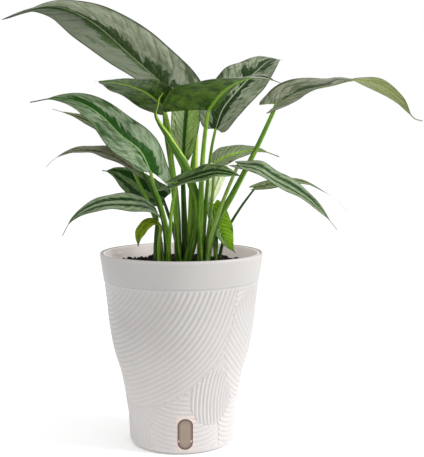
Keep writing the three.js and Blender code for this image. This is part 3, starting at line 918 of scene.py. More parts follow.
class Look(Enum):
    """The looks that the blades have, each an upper and an under finish."""

    BROAD_SILVER = (
        # The darker other colour is painted shade on one half of the leaf.
        BladeFinish(
            "broad_silver", field="a6ad98", shade="6c7758", band="384e2a", rib="96a380", other="6c7362",
            blotch=0.3, width=0.2, seed=1.0,
        ),
        BackFinish("broad_silver_back"),
    )
    DEEP_BACKED = (
        BladeFinish("deep_backed", seed=2.0),
        BackFinish(
            "deep_back", green="425e1a", mottle="203a0c", bloom="64783a", rib="709232", margin="3c541c",
        ),
    )
    BLOTCHED = (
        BladeFinish(
            "blotched", field="868f78", shade="485838", band="1a3012", rib="8c9a76", width=0.26,
            feather=0.5, blotch=0.5, dull=0.6, seed=3.0,
        ),
        BackFinish("blotched_back"),
    )
    GREY_SILVER = (
        BladeFinish(
            "grey_silver", field="848a74", shade="485036", band="24361a", rib="7c8c60", width=0.14,
            blotch=0.44, dull=0.75, seed=4.0,
        ),
        BackFinish("pale_back", green="86905c", mottle="707c4a", bloom="8e966a", rib="909e62"),
    )
    VIVID = (
        BladeFinish(
            "vivid", field="829376", shade="405832", band="1a440a", rib="789660", width=0.22, lean=0.18,
            feather=0.4, blotch=0.26, dull=0.75, rib_width=0.034, seed=5.0,
        ),
        BackFinish("vivid_back", green="486c2c"),
    )
    OLIVE = (
        BladeFinish(
            "olive", field="848e68", shade="566236", band="384a1e", width=0.24, dull=0.7, seed=6.0,
        ),
        BackFinish("olive_back", green="5c6e34"),
    )
    DUSKY = (
        BladeFinish(
            "dusky", field="808064", shade="5c5c3e", band="3c4224", rib="6a8240", width=0.16, seed=7.0,
        ),
        BackFinish("dusky_back", green="60683e"),
    )
    # Darker colours: partly the leaf's own dark pattern and partly painted shade for a leaf that lies
    # in shade.
    SHADED = (
        BladeFinish(
            "shaded", field="708658", shade="325020", band="14360a", rib="68864e", width=0.6,
            feather=0.2, hollow=0.22, seed=8.0,
        ),
        BackFinish("shaded_back", green="385622"),
    )
    STRIPED = (
        BladeFinish(
            "striped", field="849374", shade="526640", band="183614", rib="8a9c76", width=0.5,
            feather=0.24, blotch=0.1, hollow=0.2, seed=9.0,
        ),
        BackFinish("striped_back", green="5a7640"),
    )
    NARROW = (
        BladeFinish(
            "narrow", field="708658", shade="385424", band="14300c", rib="748c5c", margin="7c8e62",
            width=0.46, lean=0.12, feather=0.24, hollow=0.1, blotch=0.1, seed=9.5,
        ),
        BackFinish("narrow_back", green="526e36"),
    )
    YOUNG = (
        BladeFinish(
            "young", field="7e921e", shade="587414", band="38580e", rib="92a432", margin="546818",
            width=0.1, seed=10.0,
        ),
        BackFinish("young_back", green="768a1e", mottle="4c6a10", bloom="7e8c32"),
    )
    LIME_BACKED = (
        BladeFinish(
            "lime_backed", field="909d7c", shade="66764e", rib="88a846", width=0.06, rib_width=0.14,
            seed=11.0,
        ),
        BackFinish("lime_back", green="76983c", mottle="587a2c", rib="9eba4e"),
    )
    BRIGHT_BACKED = (
        BladeFinish(
            "bright_backed", field="749256", shade="4a6e2c", band="18400a", rib="769c30",
            other="709a18", width=0.1, lean=0.18, margin="688232", seed=12.0,
        ),
        BackFinish("bright_back", green="62941a", mottle="487a10", rib="90b83c"),
    )
    HALF_PALE = (
        BladeFinish(
            "half_pale", field="98b266", shade="709042", band="244c12", rib="265012", other="8e9e70",
            width=0.02, rib_width=0.12, seed=13.0,
        ),
        BackFinish("half_pale_back", green="88a658", mottle="6c8e42"),
    )
    # Pale colours: partly the young leaf's own pale green and partly painted light for the light that
    # shines through it.
    PALE = (
        BladeFinish("pale", field="e8f0cc", shade="d6e0b2", band="b0c27c", width=0.06, seed=14.0),
        BackFinish(
            "pale_green_back", green="e8f0d0", mottle="d8e2b4", bloom="eaeed4", rib="cedaa0",
            margin="b0be86",
        ),
    )


class StalkLook(Enum):
    """The looks that the stalks have."""

    GREEN = StalkFinish("stalk_green", "183a06", "4c7a14", "629020", "92b840")
    BRIGHT = StalkFinish("stalk_bright", "265008", "588a14", "789e26", "a4c64e")
    DARK = StalkFinish("stalk_dark", "0c2404", "2c500e", "426a18", "5c8a2a")
    OLIVE = StalkFinish("stalk_olive", "3a6012", "789e34", "8aaa42", "b4d072")


# ---------- the pot ----------
class Outline:
    """Outside radius of the pot at each height."""

    PLACES = (
        (6, 55.5), (16, 56), (30, 57), (37, 58), (54, 60.5), (62, 62), (77, 65), (90, 69),
        (104, 72.5), (125, 75.8), (150, 78.5), (165, 80.2), (185, 83.2), (197, 84.8),
    )

    def __init__(self) -> None:
        """Lays one smooth curve through the measured places."""
        curve = SmoothCurve(self.PLACES)
        self.height, self.radius = curve.points.T

    def at(self, height: Array) -> Array:
        """Radius at heights."""
        return np.interp(height, self.height, self.radius)

    def wall(self, low: float, high: float, inset: float, rows: int) -> Array:
        """Rows of [radius, height] from low to high, that far inside the outline."""
        height = np.linspace(low, high, rows)
        return np.column_stack([self.at(height) - inset, height])


OUTLINE = Outline()


@dataclass(frozen=True)
class Sweep:
    """One raked field: ridges about a far centre, inside a round patch of the unrolled wall."""

    patch: tuple[float, float]
    reach: float
    about: tuple[float, float]


@dataclass
class OuterPot:
    """Flared pot with a smooth top band, raked ridges below it and a hole for the window."""

    height: float = 200.0
    floor: float = 3.0
    foot: float = 6.0
    brim: float = 197.0
    base_radius: float = 51.0
    ledge: float = 190.0
    ledge_radius: float = 81.9
    sides: int = 500
    rows: int = 158
    mean_radius: float = 72.0
    pitch: float = 4.9
    ridge_up: float = 0.5
    ridge_down: float = 0.85
    finish: PlasticFinish = PlasticFinish("satin_plastic", "b0adab", "a9a6a4", border="cebfba")
    sweeps: tuple[Sweep, ...] = (
        Sweep((-62, 163), 118, (-95, 200)), Sweep((110, 112), 66, (132, 176)),
        Sweep((40, 60), 31, (150, 64)), Sweep((6, 16), 48, (6, 152)), Sweep((-80, 44), 74, (-152, 8)),
        Sweep((86, 14), 52, (90, 104)), Sweep((-166, 128), 66, (-150, 214)),
        Sweep((176, 150), 58, (120, 60)), Sweep((-160, 40), 62, (-120, -60)),
        Sweep((176, 62), 60, (232, 8)), Sweep((-214, 96), 80, (-290, 150)),
    )

    def relief(self, turn: Array, height: Array) -> Array:
        """Height of the raked ridges at turns and heights.

        A place belongs to the first patch that reaches it, and there the ridge height is the cosine
        of its distance from that patch's centre, over the pitch. A small warp makes the lines look
        raked by hand, and each patch fades to a groove at its edge, at the band, at the foot and round
        the window.

        Args:
            turn: Turns about the upright axis.
            height: Heights above the floor.

        Returns:
            How far the wall stands out at each place.
        """
        around = self.mean_radius * turn + 1.4 * np.sin(height / 19.0)
        upright = height + 1.3 * np.sin(self.mean_radius * turn / 23.0)
        girth = 2 * math.pi * self.mean_radius
        made = 0.5 + 0.5 * np.cos(2 * math.pi * (upright + 9 * np.cos(turn * 3)) / self.pitch)
        free = np.ones_like(made)
        for sweep in self.sweeps:
            side = (around - sweep.patch[0] + girth / 2) % girth - girth / 2
            inside = sweep.reach - np.hypot(side, upright - sweep.patch[1])
            shift = sweep.patch[0] - sweep.about[0]
            far = np.hypot(side + shift, upright - sweep.about[1])
            ridge = (0.5 + 0.5 * np.cos(2 * math.pi * far / self.pitch)) ** 0.8
            own = (inside > 0) & (free > 0)
            made = np.where(own, ridge * ease(inside, 0.0, 1.8), made)
            free = np.where(own, 0.0, free)
        worn = 0.55 + 0.45 * np.sin(around / 37.0 + 0.6) * np.sin(upright / 31.0 + 0.9)
        made = made * (0.62 + 0.38 * worn)
        clear = Window.clearing(around, upright)
        fade = ease(height, 3.0, 9.0) * ease(height, BAND_FOOT - 1.6, BAND_FOOT - 3.4) * clear
        return fade * (made * (self.ridge_up + self.ridge_down) - self.ridge_down)

    def build(self) -> bpy.types.Object:
        """The pot as one turned shell, with the window's hole cut through it.

        Returns:
            The object.
        """
        body = OUTLINE.wall(self.foot, BAND_FOOT - 1.0, BAND_STEP, self.rows)
        band = OUTLINE.wall(BAND_FOOT, self.brim, 0.0, 12)
        inside = OUTLINE.wall(self.floor, self.ledge - 2, POT_WALL + BAND_STEP, 8)[::-1]
        bottom = [(0, 0), (30, 0), (self.base_radius, 0)]
        bottom += [(52.4, 0.25), (53.6, 0.9), (54.4, 1.8), (54.9, 2.9)]
        lip = [
            (84.86, 197.9), (84.82, 198.6), (84.55, 199.3), (84.1, 199.75), (83.3, self.height),
            (82.7, 199.9), (82.2, 199.5), (self.ledge_radius, 198.9),
        ]
        ledge = [(self.ledge_radius, self.ledge), (78.6, self.ledge)]
        rings = [bottom, body[:1], body, band, lip, ledge, inside, [(30, self.floor), (0, self.floor)]]
        outline = np.vstack([np.asarray(part, float) for part in rings])
        low = len(bottom) + 1
        high = low + len(body)

        def proud(turn: Array, height: Array) -> Array:
            """The relief on the body's rows alone."""
            row = np.arange(len(outline))[:, None]
            return np.where((row >= low) & (row < high), self.relief(turn, height), 0.0)

        points = turned(outline, self.sides, proud)
        made = solid("pot_shell", points, self.finish, 32.0, unrolled(points))
        cut(made, [Window().plug(CLEARANCE, -3.0, 9.0)], 32.0)
        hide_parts("outer_pot")
        return made


@dataclass
class Window:
    """Pill-shaped water window: a plug through the wall and a flange behind it."""

    width: float = 15.0
    tall: float = 32.0
    centre: float = 21.5
    turn: float = 3.2
    flange: float = 1.2
    flange_depth: float = 1.6
    recess: float = 0.42
    face_rings: int = 9
    sides: int = 72
    finish: WindowFinish = WindowFinish()

    @staticmethod
    def clearing(around: Array, upright: Array) -> Array:
        """0 on the smooth border round the window and 1 away from it, by distance from a box.

        Args:
            around: Places round the unrolled wall.
            upright: Heights.

        Returns:
            The share of the relief that is left.
        """
        side = np.abs(around - PLAIN_MIDDLE[0]) - PLAIN_HALF[0]
        rise = np.abs(upright - PLAIN_MIDDLE[1]) - PLAIN_HALF[1]
        away = np.hypot(np.maximum(side, 0), np.maximum(rise, 0))
        return ease(away, 0.9, 2.1)

    def ring(self, spread: Array | float, share: Array) -> tuple[Array, Array]:
        """Outline of the pill, scaled towards its upright middle line.

        A point is the nearer end of the middle line plus share times the radius in each direction.

        Args:
            spread: How far the outline is grown, one for all or one for each ring.
            share: Scale of each ring, 0 at the middle line and 1 at the outline.

        Returns:
            Sideways and upright places, rings by sides.
        """
        turn = turns(self.sides)
        radius = np.reshape(self.width / 2 + spread, (-1, 1))
        straight = (self.tall - self.width) / 2
        side = share[:, None] * (radius * np.cos(turn))
        rise = share[:, None] * (radius * np.sin(turn))
        return side, rise + np.where(np.sin(turn) >= 0, straight, -straight)

    def laid(self, side: Array, rise: Array, depth: Array) -> Array:
        """Places on the wall: that far sideways, upright, and behind the pot's outline.

        The distance in front of the axis is the root of the squared radius less the squared side.

        Args:
            side: Sideways places.
            rise: Heights from the window's middle.
            depth: Depths behind the pot's outline.

        Returns:
            The points.
        """
        upright = rise + self.centre
        radius = OUTLINE.at(upright) - depth
        front = np.sqrt(np.maximum(radius**2 - side**2, 1.0))
        angle = math.radians(self.turn)
        x = side * math.cos(angle) + front * math.sin(angle)
        y = side * math.sin(angle) - front * math.cos(angle)
        return np.stack([x, y, upright], axis=-1)

    def plug(self, spread: float, front: float, back: float) -> bpy.types.Object:
        """A closed pill-shaped bar between two depths, to cut the hole with.

        Args:
            spread: How far the outline is grown.
            front, back: Depths of the two ends.

        Returns:
            The tool.
        """
        side, rise = self.ring(spread, np.array([0.0, 1.0, 1.0, 0.0]))
        depth = np.array([front, front, back, back])[:, None]
        return solid("window_hole", self.laid(side, rise, depth))

    def build(self) -> bpy.types.Object:
        """The lens: a softly rounded face, the plug's side, the flange and its back.

        Returns:
            The object.
        """
        shares = np.concatenate([np.linspace(0, 0.86, self.face_rings), [0.93, 0.975, 1.0]])
        face = np.concatenate([np.full(self.face_rings, self.recess), [0.5, 0.68, 1.0]])
        wall = POT_WALL + BAND_STEP + CLEARANCE
        back = wall + self.flange_depth
        spreads = np.concatenate([np.zeros(len(face) + 1), [self.flange, self.flange, self.flange]])
        shares = np.concatenate([shares, [1.0, 1.0, 1.0, 0.0]])
        depth = np.concatenate([face, [wall, wall, back, back]])
        side, rise = self.ring(spreads, shares)
        points = self.laid(side, rise, depth[:, None])
        uv = np.stack(np.meshgrid(shares, np.linspace(0, 1, self.sides + 1), indexing="ij"), axis=-1)
        made = solid("window_lens", points, self.finish, 50.0, uv)
        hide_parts("water_window")
        return made


@dataclass
class InnerPot:
    """Liner that hangs on the pot's shoulder, with drain holes, a wick well and a lift catch."""

    outset: float = 4.6
    wall: float = 2.2
    floor: float = 72.0
    well_radius: float = 15.0
    well_bottom: float = 9.0
    neck: float = 188.0
    collar_radius: float = 81.6
    top: float = 199.3
    sides: int = 200
    drain_ring: float = 38.0
    drain_radius: float = 2.5
    drains: int = 6
    wick_ring: float = 8.0
    wick_radius: float = 2.0
    wicks: int = 3
    drain_cut: tuple[float, float] = (60, 80)
    wick_cut: tuple[float, float] = (5, 15)
    # Each lug of the catch: low and high edge, and the turns in degrees where it starts and stops
    lugs: tuple[tuple[float, float, float, float], ...] = (
        (192.2, 193.6, 148.0, 153.0), (192.2, 194.8, 151.6, 153.0),
    )
    # The liner's faint glow is painted light.
    finish: PlasticFinish = PlasticFinish("liner_plastic", "eee3e0", "e6dad7", 0.48, painted_glow=0.16)

    def outline(self) -> Array:
        """The liner's [radius, height] outline, from the well's underside round to its inside.

        Returns:
            Rows of radius and height.
        """
        foot = self.floor - 2.6
        inner = self.well_radius - self.wall
        inset = self.outset + self.wall
        parts = [
            [(0, self.well_bottom), (14, self.well_bottom), (self.well_radius, self.well_bottom + 1)],
            [(self.well_radius, foot), (float(OUTLINE.at(foot)) - self.outset - 4, foot)],
            OUTLINE.wall(foot + 4, self.neck, self.outset, 12),
            [
                (78.9, 190.3), (self.collar_radius, 190.3), (self.collar_radius, 198.7), (81.4, 199.05),
                (81.0, 199.25), (80.7, self.top), (80.2, self.top), (79.8, 199.15), (79.5, 198.8),
                (79.35, 198.2), (79.1, 196.5),
            ],
            OUTLINE.wall(self.floor + 4, self.neck, inset, 16)[::-1],
            [(float(OUTLINE.at(self.floor)) - inset - 4, self.floor), (inner, self.floor)],
            [(inner, self.well_bottom + 2.5), (0, self.well_bottom + 2.5)],
        ]
        return np.vstack([np.asarray(part, float) for part in parts])

    @staticmethod
    def holes(
        ring: float, count: int, radius: float, span: tuple[float, float],
    ) -> list[bpy.types.Object]:
        """Round bars spaced evenly on a ring, from one height to another, to cut holes with.

        Args:
            ring: Radius of the ring.
            count: How many holes it has.
            radius: Radius of one hole.
            span: Heights of a bar's two ends.

        Returns:
            The tools.
        """
        low, high = span
        outline = np.array([(0, low), (radius, low), (radius, high), (0, high)], float)
        places = [
            np.array([ring * math.cos(turn), ring * math.sin(turn), 0.0])
            for turn in (2 * math.pi * k / count for k in range(count))
        ]
        return [solid("drain_hole", turned(outline, 16) + place) for place in places]

    def build(self) -> bpy.types.Object:
        """The turned liner with its holes cut.

        Returns:
            The object.
        """
        rings = turned(self.outline(), self.sides)
        made = solid("liner", rings, self.finish, 35.0, unrolled(rings))
        drains = self.holes(self.drain_ring, self.drains, self.drain_radius, self.drain_cut)
        wicks = self.holes(self.wick_ring, self.wicks, self.wick_radius, self.wick_cut)
        cut(made, drains + wicks, 35.0)
        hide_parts("inner_pot")
        return made

    def catch(self) -> bpy.types.Object:
        """The lift catch: a small rounded L-shaped lug on the liner's inner face.

        Each lug is a box whose section shrinks at both ends, laid on the wall at its own turn.

        Returns:
            The object.
        """
        shell = Shell()
        for low, high, start, stop in self.lugs:
            ends = np.radians([start, start + 0.25, stop - 0.25, stop])
            scale = np.array([0.7, 1.0, 1.0, 0.7])
            corner = np.array([(0.6, -1), (0.6, 1), (-0.9, 1), (-1.3, 0.6), (-1.3, -0.6), (-0.9, -1)])
            middle = (low + high) / 2
            rise = middle + corner[None, :, 1] * scale[:, None] * (high - low) / 2
            radius = OUTLINE.at(rise) - self.outset - self.wall + corner[None, :, 0] * scale[:, None]
            x, y = radius * np.cos(ends)[:, None], radius * np.sin(ends)[:, None]
            shell.grid(ended(np.stack([x, y, rise], axis=-1)), closed=True)
        made = shell.piece("lift_catch", (self.finish,), 30.0)
        return made


@dataclass
class Soil:
    """Potting mix: a lumpy surface over the filled liner, with loose crumbs and perlite on it."""

    top: float = 187.4
    edge: float = 185.4
    radius: float = 75.4
    gap: float = 7.1
    wall: tuple[float, float] = (76.2, 184.0)
    underside: tuple[tuple[float, float], ...] = ((54.0, 72.3), (12.5, 72.3), (12.5, 11.8), (0, 11.8))
    sides: int = 180
    rings: int = 64
    crumbs: int = 620
    grains: int = 34
    mounds: tuple[tuple[float, float, float, float], ...] = (
        (-25, 9, 15, 4.6), (46, 14, 13, 3.4), (14, 24, 18, 3.0), (-48, 24, 12, 1.6),
    )

    def surface(self, x: Array, y: Array) -> Array:
        """Height of the mix: a shallow dome with bell-shaped mounds and two sizes of lumps.

        Args:
            x, y: Places in millimetres.

        Returns:
            One height for each place.
        """
        away = np.hypot(x, y)
        dome = blend(self.top, self.edge, ease(away, 46.0, self.radius))
        for across, deep, spread, rise in self.mounds:
            dome = dome + rise * np.exp(-((x - across) ** 2 + (y - deep) ** 2) / spread**2)
        lumps = 1.1 * Ripples(11, 7.0, 16.0).at(x, y) + 0.6 * Ripples(12, 2.6, 5.5).at(x, y)
        return dome + lumps * ease(away, self.radius, self.radius - 5.0)

    def build(self) -> bpy.types.Object:
        """The mix as one closed turned shell with a lumpy top.

        Returns:
            The object.
        """
        reach = np.linspace(0, self.radius, self.rings)
        turn = turns(self.sides, -math.pi)
        x, y = np.multiply.outer(reach, np.sin(turn)), -np.multiply.outer(reach, np.cos(turn))
        cap = np.stack([x, y, self.surface(x, y)], axis=-1)
        side = OUTLINE.wall(*self.wall, self.gap, 10)[::-1]
        below = turned(np.vstack([side, self.underside]), self.sides)
        made = solid("potting_mix", np.concatenate([cap, below]), SoilFinish(), 180.0)
        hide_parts("soil")
        return made

    def scatter(
        self, name: str, seed: int, count: int, sizes: tuple[float, float], look: Any,
    ) -> bpy.types.Object:
        """Small angular grains strewn over the surface.

        Each grain is the same 20-faced ball with its corners pushed by a random share, then scaled
        and moved to its own place.

        Args:
            name: The piece's name.
            seed: Seed of the random places.
            count: How many grains there are.
            sizes: Smallest and largest radius.
            look: The finish.

        Returns:
            The object.
        """
        random = np.random.default_rng(seed)
        ball = bmesh.new()
        bmesh.ops.create_icosphere(ball, subdivisions=1, radius=1.0)
        corners = np.array([v.co for v in ball.verts])
        sides = np.array([[v.index for v in f.verts] for f in ball.faces])
        ball.free()
        away = (self.radius - 2.5) * np.sqrt(random.uniform(0.02, 1, count))
        turn = random.uniform(0, 2 * math.pi, count)
        x, y = away * np.cos(turn), away * np.sin(turn)
        size = random.uniform(0, 1, count) ** 2.2 * (sizes[1] - sizes[0]) + sizes[0]
        shape = corners[None] * random.uniform(0.72, 1.25, (count, len(corners), 1))
        shape = shape * (size[:, None] * random.uniform(0.75, 1.3, (count, 3)))[:, None]
        shape += np.stack([x, y, self.surface(x, y) + 0.25 * size], axis=-1)[:, None]
        faces = (sides[None] + len(corners) * np.arange(count)[:, None, None]).reshape(-1, 3)
        mesh = bpy.data.meshes.new(name)
        mesh.from_pydata((shape.reshape(-1, 3) * MM).tolist(), [], faces.tolist())
        mesh.materials.append(material_of(look))
        made = shown(name, mesh)
        return made


# ---------- the plant ----------
@dataclass(frozen=True)
class Crown:
    """The swollen foot of one shoot in the mix, ringed by old sheaths."""

    name: str
    x: float
    y: float
    radius: float
    sides: int = 48

    def build(self) -> bpy.types.Object:
        """A turned foot whose radius has upright folds and that domes just above the mix.

        Returns:
            The object.
        """
        radius, top = self.radius, SOIL_TOP + 2.0
        outline = np.array([
            (0, SOIL_TOP - CROWN_DEPTH), (radius, SOIL_TOP - CROWN_DEPTH), (radius, SOIL_TOP - 8),
            (radius * 0.98, SOIL_TOP - 2), (radius * 0.9, SOIL_TOP), (radius * 0.74, top - 0.8),
            (radius * 0.45, top - 0.2), (0, top),
        ])

        def folds(turn: Array, height: Array) -> Array:
            """Upright folds that die out towards the middle."""
            row = outline[:, :1] / radius
            return -0.08 * radius * row * (0.5 + 0.5 * np.cos(9 * turn + height / 9))

        points = turned(outline, self.sides, folds) + np.array([self.x, self.y, 0.0])
        made = solid(f"crown_{self.name}", points, StalkLook.DARK.value, 60.0, unrolled(points))
        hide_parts(f"shoot_{self.name}")
        return made


CROWNS = {
    crown.name: crown
    for crown in (
        Crown("left", -18.5, -5, 11), Crown("middle", 2.5, 6.5, 10.8), Crown("right", 22, -3, 9),
        Crown("edge", 38, 9, 6),
    )
}


@dataclass(frozen=True)
class LeafShape:
    """Measured shape of one leaf: its stalk, its midrib and how its two halves spread from it."""

    name: str
    shoot: str
    look: Look
    stalk: tuple[Point, ...]
    midrib: tuple[Point, ...]
    stalk_radius: tuple[float, float]
    half: tuple[float, float]
    up: tuple[Point, Point]
    fold: tuple[float, float]
    lobe: tuple[float, float]
    drip: float
    belly: float
    neck: float = 0.45
    taper: float = 1.8
    wave: float = 0.8
    thread: float = 0.05
    skin: StalkLook = StalkLook.GREEN


